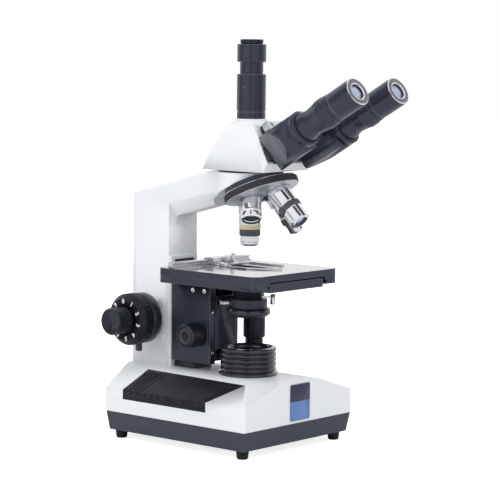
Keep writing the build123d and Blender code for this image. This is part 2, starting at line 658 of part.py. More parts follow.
def iris_lever():
    """The iris ring with its lever and upright handle."""
    ring = cyl(12.9, IRIS_Z[0] + 0.1, IRIS_Z[1] - 0.1) - cyl(8.5, IRIS_Z[0] - 1, IRIS_Z[1] + 1)
    arm_bar = Pos(0, 0, IRIS_Z[0] + 0.5) * Rot(0, 0, degrees(IRIS_ANGLE)) * Pos(17.5, 0, 0) * Box(13, 2.6, 2.0,
                                                                                              align=LOW)
    x, y = 24.5 * cos(IRIS_ANGLE), 24.5 * sin(IRIS_ANGLE)
    handle = chamfer(cyl(2.7, 143.2, 153.8, x, y).edges(), 0.5)
    return ring + arm_bar + handle


def clamp_place():
    """The clamp screw's own axis, out through the clamping ring."""
    return Pos(0, 0, CLAMP_Z) * Rot(0, 0, degrees(CLAMP_ANGLE)) * Rot(0, 90, 0)


def clamp_screw():
    screw = turned([(0, 15.9), (1.8, 15.9), (1.8, 21.4), (3.2, 21.4), (3.2, 30.0), (2.6, 30.6), (0, 30.6)])
    screw -= knurl(3.2, 21.9, 29.6, 18, width=0.6)
    return clamp_place() * screw


def filter_holder():
    """A swing-out ring under the condenser, with the filter glass lying in it."""
    ring = turned([(15.0, 131.0), (18.2, 131.0), (22.2, 134.4), (22.2, 135.7), (17.2, 135.7), (17.2, 133.2),
                   (15.0, 133.2)])
    ring += cyl(4.0, 131.8, 135.7, *FILTER_PIVOT) - cyl(17.5, 130, 137)
    ring -= cyl(1.6 + RUN, 130, 137, *FILTER_PIVOT)
    ring -= cyl(2.8 + GAP, 130, 131.8, *FILTER_PIVOT)
    glass = cyl(17.1, 133.2, 135.2)
    return Compound([s for part in (ring, glass) for s in part.solids()])


def condenser_knob():
    """Knob with concentric rings on its face, shaft and pinion."""
    knob = turned([(0, 24.0), (12.0, 24.0), (12.4, 24.5), (12.4, 41.0), (11.6, 42), (9.2, 42), (9.2, 41.2),
                   (6.4, 41.2), (6.4, 42), (4.6, 42), (4.6, 40.6), (0, 40.6)])
    knob -= knurl(12.4, 24.6, 40.8, 48, width=0.7)
    knob = knob.rotate(Axis.Y, -90)
    shaft = cyl(3.0, -24.5, 13.5)
    pinion = Pos(0, 0, -6) * gear(PITCH_R, PINION_TEETH, 12).rotate(Axis.Z, -90)
    return Pos(0, CK_Y, CK_Z) * (knob + (shaft + pinion).rotate(Axis.Y, 90))


save("stage_bracket", stage_bracket())
save("gib_strips", gib_strips())
save("stage_lower_plate", stage_lower_plate())
save("condenser_slide", condenser_slide())
save("condenser", condenser())
save("condenser_lens", condenser_lens())
save("iris_lever", iris_lever())
save("clamp_screw", clamp_screw())
save("filter_holder", filter_holder())
save("condenser_knob", condenser_knob())


# Stage

def stage_top():
    """The moving stage plate: an upside-down channel riding on the lower plate's tongues."""
    slab = box(-STAGE_HALF, STAGE_HALF, STAGE_FRONT, STAGE_REAR, STAGE_RAIL, STAGE_TOP)
    slab = fillet(slab.edges().filter_by(Axis.Z), 7.0)
    slab -= box(-RAIL_IN, RAIL_IN, STAGE_FRONT - 1, STAGE_REAR + 1, STAGE_RAIL - 1, STAGE_SLAB)
    slab -= both(box(RAIL_IN - 1, TONGUE_X + SLIDE, STAGE_FRONT - 1, STAGE_REAR + 1, TONGUE_Z[0] - SLIDE,
                     TONGUE_Z[1] + SLIDE))
    x, y = DRIVE
    slab -= cyl(7.4, TONGUE_Z[0] - 1.2, TONGUE_Z[1] + 0.8, x, y)
    slab -= cyl(4.0 + RUN, STAGE_RAIL - 1, TONGUE_Z[0], x, y)
    slab -= cyl(2.0 + RUN, TONGUE_Z[1], STAGE_SLAB + 2, x, y)
    slab -= cyl(6.2 + GAP, STAGE_SLAB + 0.4, STAGE_SLAB + 3.8, x, y)
    slab -= cyl(16, STAGE_SLAB - 1, STAGE_TOP + 1, 0, -14) + cyl(16, STAGE_SLAB - 1, STAGE_TOP + 1, 0, 14)
    slab -= box(-16, 16, -14, 14, STAGE_SLAB - 1, STAGE_TOP + 1)
    slab -= box(-STAGE_HALF - 1, -STAGE_HALF + 3, 50, STAGE_REAR + 1, STAGE_SLAB, STAGE_TOP - 2)
    return slab


def stage_rail():
    """The bright rail across the rear of the stage, grooved for the slide holder."""
    rail = box(-60, 60, 50, 58, STAGE_TOP, STAGE_TOP + 5.6)
    rail = chamfer(rail.edges().filter_by(Axis.X).sort_by(Axis.Z)[-2:], 0.8)
    return rail - box(-61, 61, 49, 52, STAGE_TOP + 2.1, STAGE_TOP + 4.1)


def drive_post():
    x, y = DRIVE
    neck = DRIVE_JOINT + 22.0
    post = cyl(8.0, neck, STAGE_RAIL, x, y) + cyl(6.6, DRIVE_JOINT + 0.4, neck + 0.1, x, y)
    return post - cyl(4.0 + RUN, DRIVE_JOINT, STAGE_RAIL + 1, x, y)


def y_knob():
    """The upper drive knob, its tube and its pinion."""
    x, y = DRIVE
    low, top = DRIVE_JOINT - 27.8, DRIVE_JOINT
    knob = turned([(2.0 + RUN, low), (10.4, low), (11.6, low + 1.2), (11.6, top - 1.4), (10.6, top), (4.0, top),
                   (4.0, TONGUE_Z[1]), (2.0 + RUN, TONGUE_Z[1])])
    knob -= knurl(11.6, low + 1.4, top - 1.6, 30, width=1.3)
    pinion = gear(PITCH_R, PINION_TEETH, TONGUE_Z[1] - TONGUE_Z[0]).rotate(Axis.Z, 180)
    pinion -= cyl(3.0, -1, 10)
    return Pos(x, y, 0) * (knob + Pos(0, 0, TONGUE_Z[0]) * pinion)


def x_knob():
    """The lower drive knob, its shaft and the drum that pulls the slide holder's wire."""
    x, y = DRIVE
    low, top = DRIVE_JOINT - 42.0, DRIVE_JOINT - 28.2
    knob = turned([(0, low), (8.4, low), (9.4, low + 1), (9.4, top - 1.2), (8.6, top), (2.0, top), (2.0, STAGE_SLAB + 1),
                   (6.2, STAGE_SLAB + 1), (6.2, STAGE_SLAB + 1.6), (5.9, STAGE_SLAB + 2.1), (6.2, STAGE_SLAB + 2.6),
                   (6.2, STAGE_SLAB + 3.2), (0, STAGE_SLAB + 3.2)])
    knob -= knurl(9.4, low + 1.1, top - 1.4, 26, width=1.2)
    return Pos(x, y, 0) * knob


def slide_holder():
    """The carriage on the rail with its flat arm and thumbscrew."""
    z = STAGE_TOP + 0.2
    body = box(-7, 42, 43.5, 50 - SLIDE, z, z + 6.1)
    body += box(-7, 42, 43.5, 57, z + 5.5, z + 7.1)
    body += box(-7, 42, 48, 52 - SLIDE, STAGE_TOP + 2.1 + SLIDE, STAGE_TOP + 4.1 - SLIDE)
    body = chamfer(body.edges().filter_by(Axis.X).sort_by(Axis.Z)[-2:], 0.6)
    plate = flat_prism([(-7, 44), (-7, 37), (3, 29.5), (31, 29.5), (33.2, 26), (33.6, -15), (37.4, -15), (38.4, 30),
                        (42, 36), (42, 44)], z, z + 1.6)
    plate -= flat_prism([(33, -15.2), (35.6, -15.2), (33.6, -11)], z - 1, z + 3)
    body += plate
    screw = cyl(2.4, z + 1.5, z + 3.3, 17, 38) + cyl(4.2, z + 3.2, z + 5.5, 17, 38)
    wings = [Pos(17, 38, z + 5.3) * Rot(0, 0, 20) * Rot(0, s * 24, 0) * Box(2.6, 2.2, 7.6, align=LOW) for s in (-1, 1)]
    body += Pos(0, 0, -1.6) * (screw + wings)
    body -= cyl(2.0 + RUN, z - 1, z + 3, *CLIP_PIVOT)
    return body


def holder_clip():
    """The curved, sprung finger that presses a slide against the arm."""
    z = STAGE_TOP + 0.2
    px, py = CLIP_PIVOT
    outer = Polyline((px - 3.4, py), (px - 12.5, 12), (px - 12.0, -8), (px - 5.0, -24), (7.2, -38.0),
                     (8.2, -37.0), (px - 3.0, -21.5), (px - 9.2, -7), (px - 9.6, 12), (px + 3.4, py - 1), close=True)
    finger = extrude(Pos(0, 0, z) * make_face(outer), 1.5)
    finger -= cyl(6.5, z - 1, z + 3, px, py)
    arch = cyl(3.6, z + 1.7, z + 2.9, px, py) + cyl(2.0, z, z + 2.0, px, py)
    bridge = flat_prism([(px - 2.8, py), (px - 9.0, 27.5), (px - 5.6, 25.8), (px + 2.2, py - 2)], z + 1.7, z + 2.9)
    root = flat_prism([(px - 9.4, 28.5), (px - 11.0, 23), (px - 7.4, 21), (px - 5.4, 26)], z, z + 2.9)
    return finger + arch + bridge + root


save("stage_top", stage_top())
save("stage_rail", stage_rail())
save("drive_post", drive_post())
save("y_knob", y_knob())
save("x_knob", x_knob())
save("slide_holder", slide_holder())
save("holder_clip", holder_clip())


# Nosepiece and objectives

def objective_plane(side, front):
    """A plane on the apex whose Z runs down one objective; side and front choose the place on the turret."""
    s, c = sin(TILT), cos(TILT)
    down = TURRET_PLANE.z_dir * c + TURRET_PLANE.x_dir * (s * side) + TURRET_PLANE.y_dir * (s * front)
    return Plane(origin=APEX, x_dir=(1, 0, 0) if side == 0 else TURRET_PLANE.y_dir, z_dir=down)


PLACES = [(0, -1), (0, 1), (-1, 0), (1, 0)]


def turret():
    """The domed turret: a shell with a hub on the centre bolt and four seats."""
    shell = turned([(4.0 + RUN, 34.0), (8.0, 34.0), (8.0, 39.6), (24, 39.2), (31.0, 36.6), (31.0, GRIP_T[0] + 0.1),
                    (37.6, GRIP_T[0] + 0.1), (37.6, GRIP_T[0] + 0.7), (36.2, GRIP_T[0] + 0.7), (36.2, GRIP_T[1]),
                    (38.4, GRIP_T[1]), (38.4, GRIP_T[1] + 0.9), (35.5, 42.8), (30.5, 44.4), (24.0, 45.7),
                    (16.0, 46.5), (8.0, 46.8), (4.0 + RUN, 46.8)])
    body = TURRET_PLANE * shell
    centre = TURRET_PLANE * cyl(7.0, 46.7, 60)
    for side, front in PLACES:
        place = objective_plane(side, front)
        body += place * cyl(12.6, 43.5, SHOULDER) - centre
    body -= TURRET_PLANE * (cyl(31.0, 20, 36.6) - cyl(8.0, 20, 40))
    for side, front in PLACES:
        place = objective_plane(side, front)
        body -= place * cyl(13.0, SHOULDER, 60)
        body -= place * cyl(10.0 + SEAT, 36.0, 60)
    body -= TURRET_PLANE * cyl(7.0, 46.8, 60)
    return body


def turret_grip():
    ring = turned([(36.2, GRIP_T[0] + 0.7), (GRIP_R - 0.5, GRIP_T[0] + 0.7), (GRIP_R, GRIP_T[0] + 1.3),
                   (GRIP_R, GRIP_T[1] - 0.6), (GRIP_R - 0.5, GRIP_T[1]), (36.2, GRIP_T[1])])
    ring -= knurl(GRIP_R, GRIP_T[0] + 1.2, GRIP_T[1] - 0.5, 90, width=1.2)
    return TURRET_PLANE * ring


def knurled(shape, r, z0, z1, count):
    return shape - knurl(r, z0, z1, count, width=0.9)


THREAD = [(5.0, 44.0), (10.0, 44.0), (10.0, SHOULDER)]


def objective_4x():
    """Short barrel with a wide, dark mouth."""
    barrel = turned(THREAD + [(10.6, SHOULDER), (10.6, 64.5), (11.0, 66.5), (11.3, 67.5), (11.3, 72.0), (10.9, 73.2),
                              (9.4, 74.6), (8.8, 74.6), (6.6, 71.4), (6.0, 70.2), (5.0, 70.2)])
    return objective_plane(-1, 0) * barrel


def objective_10x():
    """Wide barrel with a knurled ring in the middle and a plain nose."""
    barrel = turned(THREAD + [(12.0, SHOULDER), (12.0, 70.6), (11.4, 71.2), (11.9, 71.8), (11.9, 77.2),
                              (11.2, 77.8), (10.7, 78.4), (10.7, 91.6), (9.9, 92.6), (8.4, 93.1), (7.2, 93.1),
                              (6.0, 91.9), (5.0, 91.9)])
    return objective_plane(0, 1) * knurled(barrel, 11.9, 71.9, 77.1, 40)


def objective_40x():
    """The objective in use: pale band, knurled ring and a stepped nose."""
    barrel = turned(THREAD + [(12.0, SHOULDER), (12.0, 60.0), (11.2, 61.0), (11.2, 75.5), (10.9, 75.7), (10.9, 82.0),
                              (9.8, 82.6), (9.8, 90.6), (8.8, 92.0), (5.2, 93.1), (3.6, 93.1), (3.6, 92.2),
                              (3.4, 92.2)])
    barrel = barrel + turned([(3.4, 60), (5.1, 60), (5.1, 92.2), (3.4, 92.2)])
    return objective_plane(0, -1) * knurled(barrel, 10.9, 75.9, 81.8, 36)


def objective_100x():
    """The slim objective on the far side, with a sprung nose."""
    barrel = turned(THREAD + [(12.0, SHOULDER), (12.0, 58.0), (9.4, 60.0), (9.4, 73.5), (9.9, 74.0), (9.9, 80.0),
                              (8.6, 80.8), (8.6, 83.2), (8.2, 83.6), (8.2, 90.8), (5.0, 93.0), (2.6, 93.1),
                              (2.6, 92.4), (2.4, 92.4)])
    barrel = barrel + turned([(2.4, 60), (5.1, 60), (5.1, 92.4), (2.4, 92.4)])
    return objective_plane(1, 0) * knurled(barrel, 9.9, 74.2, 79.8, 34)


save("turret", turret())
save("turret_grip", turret_grip())
save("objective_4x", objective_4x())
save("objective_10x", objective_10x())
save("objective_40x", objective_40x())
save("objective_100x", objective_100x())


# Head

TUBE_DIR = (0, -cos(TUBE_ANGLE), sin(TUBE_ANGLE))
TUBE_UP = (0, sin(TUBE_ANGLE), cos(TUBE_ANGLE))
LEFT_TUBE = Plane(origin=(-TUBE_X, TUBE_Y, TUBE_Z), x_dir=(1, 0, 0), z_dir=TUBE_DIR)
FRONT_PLANE = Plane(origin=(0, TUBE_Y, TUBE_Z), x_dir=(1, 0, 0), z_dir=TUBE_DIR)


def head_body():
    """The faceted prism housing with its turning ring, spigot and photo tube seat."""
    body = side_prism([(-46.4, RING_TOP), (35, RING_TOP), (35, 283), (12, HEAD_TOP), (-27.7, HEAD_TOP),
                       (-51.2, 291.3), (-47.8, 284.5)], HEAD_HALF)
    shoulder = Line((-60, 341.4), (10, 311.4))
    drop = TangentArc((10, 311.4), (36.5, 281), tangent=(70, -30))
    rim = Polyline((36.5, 281), (50, 240), (50, 0), (-60, 0), (-60, 341.4))
    side = Plane(origin=(-HEAD_HALF, 0, 0), x_dir=(0, 1, 0), z_dir=(1, 0, 0)) * make_face([shoulder, drop, rim])
    hood = extrude(Pos(-15, 0, -15 * HOOD_SLOPE) * side, 200, dir=(1, 0, HOOD_SLOPE))
    wall = beyond((-HEAD_HALF, 0, RING_TOP), (-cos(HEAD_DRAFT), 0, sin(HEAD_DRAFT)))
    body &= hood
    body &= mirror(hood, Plane.YZ)
    body -= wall
    body -= mirror(wall, Plane.YZ)
    body -= FRONT_PLANE * Box(200, 200, 60, align=LOW).moved(Location((0, 0, -BED_T - 0.05)))
    body += cyl(33.0, HEAD_SEAT, RING_TOP) + cyl(14.0, 274.7, HEAD_SEAT)
    body += cyl(PHOTO_R + 1.4, HEAD_TOP - 1, HEAD_TOP + 2.5)
    body -= cyl(10.0, 274, HEAD_TOP + 3)
    body -= FRONT_PLANE * Pos(WHEEL_X, WHEEL_V, -14) * Cylinder(2.0 + RUN, 20, align=LOW)
    return body


def slide_bed():
    """The plate on the sloping front on which both tube housings slide."""
    half = [(24, -10), (30, 5), (30, 19), (8, 27)]
    plate = flat_prism(half + [(-x, y) for x, y in reversed(half)], -BED_T - 0.05, -0.05)
    plate += cyl(6.0, -BED_T - 0.05, -0.05, WHEEL_X, WHEEL_V)
    plate -= Pos(0, 0, -2.4) * Box(80, 12.2, 5, align=LOW)
    plate -= Pos(0, 0, -2.5) * Box(80, 16.2, 1.3, align=LOW)
    plate -= Pos(WHEEL_X, WHEEL_V, -10) * Cylinder(2.0 + RUN, 20, align=LOW)
    return FRONT_PLANE * plate


def ipd_wheel():
    """The thumb wheel that spreads the two tubes, on a spindle into the head."""
    wheel = turned([(0, 0.4), (6.4, 0.4), (7.0, 1.0), (7.0, 6.0), (6.2, 6.8), (3.4, 6.8), (3.0, 6.4), (0, 6.4)])
    wheel -= knurl(7.0, 0.9, 6.1, 28, width=0.9)
    return FRONT_PLANE * Pos(WHEEL_X, WHEEL_V, 0) * (wheel + cyl(2.0, -12, 0.5))


def photo_tube():
    low, groove = HEAD_TOP + 2.5, HEAD_TOP + 0.11 * PHOTO_H
    tube = turned([(12.4, low), (PHOTO_R, low), (PHOTO_R, groove), (PHOTO_R - 0.5, groove + 0.3),
                   (PHOTO_R - 0.5, groove + 1.0), (PHOTO_R, groove + 1.3), (PHOTO_R, TUBE_TOP - 0.5),
                   (PHOTO_R - 0.5, TUBE_TOP), (12.4, TUBE_TOP)])
    screws = [Rot(0, 0, a) * Pos(0, 0, TUBE_TOP - 0.16 * PHOTO_H) * Rot(0, 90, 0) * Pos(0, 0, 13.6) * Cylinder(1.2, 2, align=LOW)
              for a in (-70, -170, 50)]
    return tube - screws


def photo_adapter():
    low, cuff, top = TUBE_TOP - 0.16 * PHOTO_H, TOTAL_H - 0.283 * PHOTO_H, TOTAL_H - 4.9
    return turned([(10.4, low), (12.4 - SEAT, low), (12.4 - SEAT, TUBE_TOP), (11.9, TUBE_TOP), (11.9, cuff),
                   (PHOTO_R - 0.4, cuff + 0.8), (PHOTO_R, cuff + 1.2), (PHOTO_R, top - 0.4), (PHOTO_R - 0.4, top),
                   (10.4, top)])


def photo_cap():
    seat = TOTAL_H - 4.8
    cap = turned([(0, seat - 5.7), (10.4 - RUN, seat - 5.7), (10.4 - RUN, seat), (11.0, seat), (11.7, seat + 1.2),
                  (11.7, TOTAL_H - 0.6),
                  (11.1, TOTAL_H), (9.4, TOTAL_H), (9.4, TOTAL_H - 0.7), (0, TOTAL_H - 0.7)])
    return cap - knurl(11.7, seat + 1.3, TOTAL_H - 0.7, 48, width=0.7)


def left_housing():
    """The sliding housing of one eye tube: round outside, flat inside, bevelled at the rear."""
    section = Circle(HOUSING_R) & Pos(-HOUSING_R / 2 - 5, 0) * Rectangle(HOUSING_R + 10, 60)
    flat = Pos(FLAT_IN / 2, 0) * Rectangle(FLAT_IN, 2 * HOUSING_R)
    section += fillet(flat.vertices().sort_by(Axis.X)[-2:], 5.0)
    collar = HOUSING_LEN - 7.5
    body = extrude(section, collar)
    body += cyl(HOUSING_R - 0.7, collar - 0.1, collar + 0.9) + cyl(HOUSING_R, collar + 0.8, HOUSING_LEN)
    body = chamfer(body.edges().filter_by(GeomType.CIRCLE).sort_by(Axis.Z)[-1:], 1.2)
    body -= beyond((3.4, 0, 0), (-0.80, -0.29, -0.52))
    body += Pos(FLAT_IN - 5.6, HOUSING_R + 0.7, collar / 2 + 3.5) * Box(1.6, 2.0, collar - 3)
    body += Pos(8, 0, -2.3) * Box(18, 12.0, 2.6, align=LOW)
    body += Pos(8, 0, -2.4) * Box(18, 16.0, 1.1, align=LOW)
    body -= cyl(13.0, collar - 9, HOUSING_LEN + 1) + cyl(11.7, 28.5, collar - 8) + cyl(5.0, 6, 29, 8.5, 0)
    body -= Pos(FLAT_IN, 0, 36) * Rot(0, 90, 0) * Cylinder(1.6, 2.4)
    return LEFT_TUBE * body


def tube_barrel():
    """The cone that grows out of a housing."""
    return turned([(11.62, HOUSING_LEN - 15.5), (13.0, HOUSING_LEN - 15.5), (13.0, HOUSING_LEN), (15.0, HOUSING_LEN),
                   (15.2, 58.6), (13.6, 65), (13.2, 68), (14.0, 74), (15.2, 81.8), (11.62, 81.8)])


def left_tube():
    return LEFT_TUBE * tube_barrel()


def diopter_ring():
    """The turning ring that focuses the left eyepiece tube."""
    ring = turned([(11.62, 82.1), (15.4, 82.1), (15.7, 82.5), (15.7, 89.5), (15.2, 90.4), (14.9, 96.6), (14.4, 97.4),
                   (11.62, 97.4)])
    ring -= Pos(0, 0, 92.6) * Rot(0, 0, -30) * Rot(90, 0, 0) * Pos(0, 0, 14.2) * Cylinder(1.1, 3, align=LOW)
    return LEFT_TUBE * ring


def eyepiece():
    """Eyepiece barrel with its sleeve, eye lens seat and lens."""
    barrel = turned([(9.4, 70.5), (11.55, 70.5), (11.55, 97.8), (14.0, 97.8), (EYE_R, 98.4), (EYE_R, 128.9),
                     (14.0, EYE_END), (10.6, EYE_END), (9.2, 127.2), (9.2, 126.0), (9.4, 126.0)])
    lens = turned([(0, 121.5), (9.3, 121.5), (9.3, 123.2), (6.6, 124.6), (3.2, 125.4), (0, 125.6)])
    return barrel, lens


def left_eyepiece():
    barrel, lens = eyepiece()
    return LEFT_TUBE * Compound([barrel.solid(), lens.solid()])


def right_tube():
    body = tube_barrel() + turned([(11.62, 81.7), (15.2, 81.7), (15.7, 82.5), (15.7, 89.5), (15.2, 90.4),
                                   (14.9, 96.6), (14.4, 97.4), (11.62, 97.4)])
    return mirror(LEFT_TUBE * body, Plane.YZ)


save("head_body", head_body())
save("slide_bed", slide_bed())
save("ipd_wheel", ipd_wheel())
save("photo_tube", photo_tube())
save("photo_adapter", photo_adapter())
save("photo_cap", photo_cap())
save("left_housing", left_housing())
save("left_tube", left_tube())
save("diopter_ring", diopter_ring())
save("left_eyepiece", left_eyepiece())
save("right_housing", mirror(left_housing(), Plane.YZ))
save("right_tube", right_tube())
save("right_eyepiece", mirror(left_eyepiece(), Plane.YZ))
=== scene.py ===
import json
from math import cos, pi, radians, sin

import bmesh
import bpy
from mathutils import Matrix, Vector


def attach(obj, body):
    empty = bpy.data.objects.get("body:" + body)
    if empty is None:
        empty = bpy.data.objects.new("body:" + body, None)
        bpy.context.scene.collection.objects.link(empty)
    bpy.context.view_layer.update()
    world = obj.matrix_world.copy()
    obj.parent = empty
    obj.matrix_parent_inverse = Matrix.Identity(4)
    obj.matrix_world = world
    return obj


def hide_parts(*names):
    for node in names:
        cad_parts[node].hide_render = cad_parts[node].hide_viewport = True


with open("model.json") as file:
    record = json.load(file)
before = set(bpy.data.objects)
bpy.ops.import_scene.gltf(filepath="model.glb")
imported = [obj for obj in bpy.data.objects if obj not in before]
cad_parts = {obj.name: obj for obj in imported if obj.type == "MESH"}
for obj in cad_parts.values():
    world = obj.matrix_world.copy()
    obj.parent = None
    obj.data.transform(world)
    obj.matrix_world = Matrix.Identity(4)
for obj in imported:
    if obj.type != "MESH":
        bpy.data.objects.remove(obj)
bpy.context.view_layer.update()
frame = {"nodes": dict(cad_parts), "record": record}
NODES = frame["nodes"]
MM = 0.001
OPTIC_Y = 12.0

# Camera: level with the head, well back, to the front left.

CAMERA_DISTANCE = 2.1153
CAMERA_AZIMUTH = radians(49.41)
CAMERA_HEIGHT = 0.40966
CAMERA_PITCH = radians(5.68)
CAMERA_ROLL = radians(0.63)
CAMERA_SIDE = 0.00038
CAMERA_LENS = 149.13


def place_camera():
    ahead = Vector((sin(CAMERA_AZIMUTH), cos(CAMERA_AZIMUTH), 0))
    right = Vector((cos(CAMERA_AZIMUTH), -sin(CAMERA_AZIMUTH), 0))
    up = Vector((0, 0, 1))
    place = Vector((0, OPTIC_Y * MM, 0)) - ahead * CAMERA_DISTANCE + right * CAMERA_SIDE + up * CAMERA_HEIGHT
    look = ahead * cos(CAMERA_PITCH) - up * sin(CAMERA_PITCH)
    top = up * cos(CAMERA_PITCH) + ahead * sin(CAMERA_PITCH)
    across = right * cos(CAMERA_ROLL) + top * sin(CAMERA_ROLL)
    upward = top * cos(CAMERA_ROLL) - right * sin(CAMERA_ROLL)
    data = bpy.data.cameras.new("camera")
    data.sensor_fit = "HORIZONTAL"
    data.sensor_width = 36
    data.lens = CAMERA_LENS
    data.clip_end = 50
    camera = bpy.data.objects.new("camera", data)
    bpy.context.scene.collection.objects.link(camera)
    turn = Matrix((across, upward, -look)).transposed()
    camera.matrix_world = Matrix.Translation(place) @ turn.to_4x4()
    bpy.context.scene.camera = camera


place_camera()

# Node trees: short helpers.


def put(tree, kind, values=None, **settings):
    """A node with its settings, and its inputs set to plain values or linked to sockets."""
    made = tree.nodes.new(kind)
    for key, value in settings.items():
        setattr(made, key, value)
    for key, value in (values or {}).items():
        if isinstance(value, bpy.types.NodeSocket):
            tree.links.new(value, made.inputs[key])
        else:
            made.inputs[key].default_value = value
    return made


def maths(tree, operation, *values, clamp=False):
    made = put(tree, "ShaderNodeMath", dict(enumerate(values)), operation=operation, use_clamp=clamp)
    return made.outputs[0]


def new_group(name, kind, inputs, outputs):
    """An empty node group with named sockets: (tree, input sockets, function that sets an output)."""
    tree = bpy.data.node_groups.new(name, kind)
    for socket, (sort, value) in inputs.items():
        made = tree.interface.new_socket(socket, in_out="INPUT", socket_type="NodeSocket" + sort)
        if value is not None:
            made.default_value = value
    for socket, sort in outputs.items():
        tree.interface.new_socket(socket, in_out="OUTPUT", socket_type="NodeSocket" + sort)
    given = tree.nodes.new("NodeGroupInput").outputs
    result = tree.nodes.new("NodeGroupOutput").inputs
    return tree, given, result


def use(tree, group, values):
    made = tree.nodes.new("ShaderNodeGroup")
    made.node_tree = group
    for key, value in values.items():
        if isinstance(value, bpy.types.NodeSocket):
            tree.links.new(value, made.inputs[key])
        else:
            made.inputs[key].default_value = value
    return made.outputs


# Shared effects.

MOTTLE_SCALE = 14.0
SMUDGE_SCALE = 45.0
SPECK_SCALE = 2600.0


def grain_group():
    """Powder coat or moulded grain: a fine height and a slow mottle."""
    tree, given, result = new_group("fine_grain", "ShaderNodeTree",
                                    {"Vector": ("Vector", None), "Scale": ("Float", 900.0),
                                     "Pebble": ("Float", 0.5)},
                                    {"Height": "Float", "Mottle": "Float"})
    place, scale = given["Vector"], given["Scale"]
    fine = put(tree, "ShaderNodeTexNoise", {"Vector": place, "Scale": scale, "Detail": 2.0})
    cells = put(tree, "ShaderNodeTexVoronoi", {"Vector": place, "Scale": scale})
    slow = put(tree, "ShaderNodeTexNoise", {"Vector": place, "Scale": MOTTLE_SCALE, "Detail": 3.0})
    height = put(tree, "ShaderNodeMix", {"Factor": given["Pebble"], "A": fine.outputs["Fac"],
                                         "B": cells.outputs["Distance"]})
    tree.links.new(height.outputs["Result"], result["Height"])
    tree.links.new(slow.outputs["Fac"], result["Mottle"])
    return tree


def handling_group():
    """Finger marks and dust: a change of roughness and a dust mask on faces that look up."""
    tree, given, result = new_group("handling", "ShaderNodeTree",
                                    {"Vector": ("Vector", None), "Amount": ("Float", 0.1)},
                                    {"Roughness": "Float", "Dust": "Float"})
    smudge = put(tree, "ShaderNodeTexNoise", {"Vector": given["Vector"], "Scale": SMUDGE_SCALE, "Detail": 5.0,
                                              "Roughness": 0.6})
    change = maths(tree, "SUBTRACT", smudge.outputs["Fac"], 0.5)
    tree.links.new(maths(tree, "MULTIPLY", change, given["Amount"]), result["Roughness"])
    specks = put(tree, "ShaderNodeTexNoise", {"Vector": given["Vector"], "Scale": SPECK_SCALE, "Detail": 1.0})
    facing = put(tree, "ShaderNodeNewGeometry").outputs["Normal"]
    level = put(tree, "ShaderNodeSeparateXYZ", {"Vector": facing})
    sharp = put(tree, "ShaderNodeMapRange", {"Value": specks.outputs["Fac"],
                                             "From Min": 0.62, "From Max": 0.75})
    upward = put(tree, "ShaderNodeMapRange", {"Value": level.outputs["Z"], "From Min": 0.5, "From Max": 1.0})
    tree.links.new(maths(tree, "MULTIPLY", sharp.outputs["Result"], upward.outputs["Result"]), result["Dust"])
    return tree


def corner_group():
    """Small rounding of corners: the softened normal, and a mask along the edges, which finish() uses for a
    painted highlight.
    """
    tree, given, result = new_group("soft_corner", "ShaderNodeTree", {"Radius": ("Float", 0.0005)},
                                    {"Normal": "Vector", "Edge": "Float"})
    soft = put(tree, "ShaderNodeBevel", {"Radius": given["Radius"]}, samples=6)
    plain = put(tree, "ShaderNodeNewGeometry")
    same = put(tree, "ShaderNodeVectorMath", {0: soft.outputs["Normal"], 1: plain.outputs["Normal"]},
               operation="DOT_PRODUCT")
    edge = put(tree, "ShaderNodeMapRange", {"Value": same.outputs["Value"],
                                            "From Min": 0.995, "From Max": 0.9})
    tree.links.new(soft.outputs["Normal"], result["Normal"])
    tree.links.new(edge.outputs["Result"], result["Edge"])
    return tree


GRAIN = grain_group()
HANDLING = handling_group()
CORNER = corner_group()

# Finishes.


def finish(name, colour, rough, metal=0.0, coat=0.0, grain=(900.0, 0.5, 0.00002), tone=0.06, edge=0.12,
           corner=0.0005, dust=0.0, handled=0.1, sheen=(1.0, 1.0, 1.0), shine=0.5):
    """A painted, moulded or metal surface. grain is how fine, how pebbled and how deep in metres it is; edge
    is how strongly the edges are lightened toward white, a painted highlight.
    """
    material = bpy.data.materials.new(name)
    material.use_nodes = True
    material.diffuse_color = (*colour, 1)
    tree = material.node_tree
    shader = tree.nodes["Principled BSDF"]
    place = put(tree, "ShaderNodeTexCoord").outputs["Object"]
    scale, pebble, depth = grain
    skin = use(tree, GRAIN, {"Vector": place, "Scale": scale, "Pebble": pebble})
    touch = use(tree, HANDLING, {"Vector": place, "Amount": handled})
    corners = use(tree, CORNER, {"Radius": corner})
    amount = maths(tree, "MULTIPLY_ADD", skin["Mottle"], 2 * tone, 1 - tone)
    shade = put(tree, "ShaderNodeVectorMath", {0: colour, "Scale": amount}, operation="SCALE")
    # Painted highlight: the corner mask mixes the edges toward white.
    painted_edge_highlight = put(tree, "ShaderNodeMix", {0: maths(tree, "MULTIPLY", corners["Edge"], edge), 6: shade.outputs[0],
                                      7: (1, 1, 1, 1)}, data_type="RGBA")
    dusty = put(tree, "ShaderNodeMix", {0: maths(tree, "MULTIPLY", touch["Dust"], dust), 6: painted_edge_highlight.outputs[2],
                                        7: (0.6, 0.6, 0.6, 1)}, data_type="RGBA")
    bump = put(tree, "ShaderNodeBump", {"Height": skin["Height"], "Distance": depth,
                                        "Normal": corners["Normal"]})
    tree.links.new(dusty.outputs[2], shader.inputs["Base Color"])
    tree.links.new(maths(tree, "ADD", touch["Roughness"], rough, clamp=True), shader.inputs["Roughness"])
    tree.links.new(bump.outputs[0], shader.inputs["Normal"])
    shader.inputs["Metallic"].default_value = metal
    shader.inputs["Coat Weight"].default_value = coat
    shader.inputs["Coat Roughness"].default_value = 0.1
    shader.inputs["Specular Tint"].default_value = (*sheen, 1)
    shader.inputs["Specular IOR Level"].default_value = shine
    return material


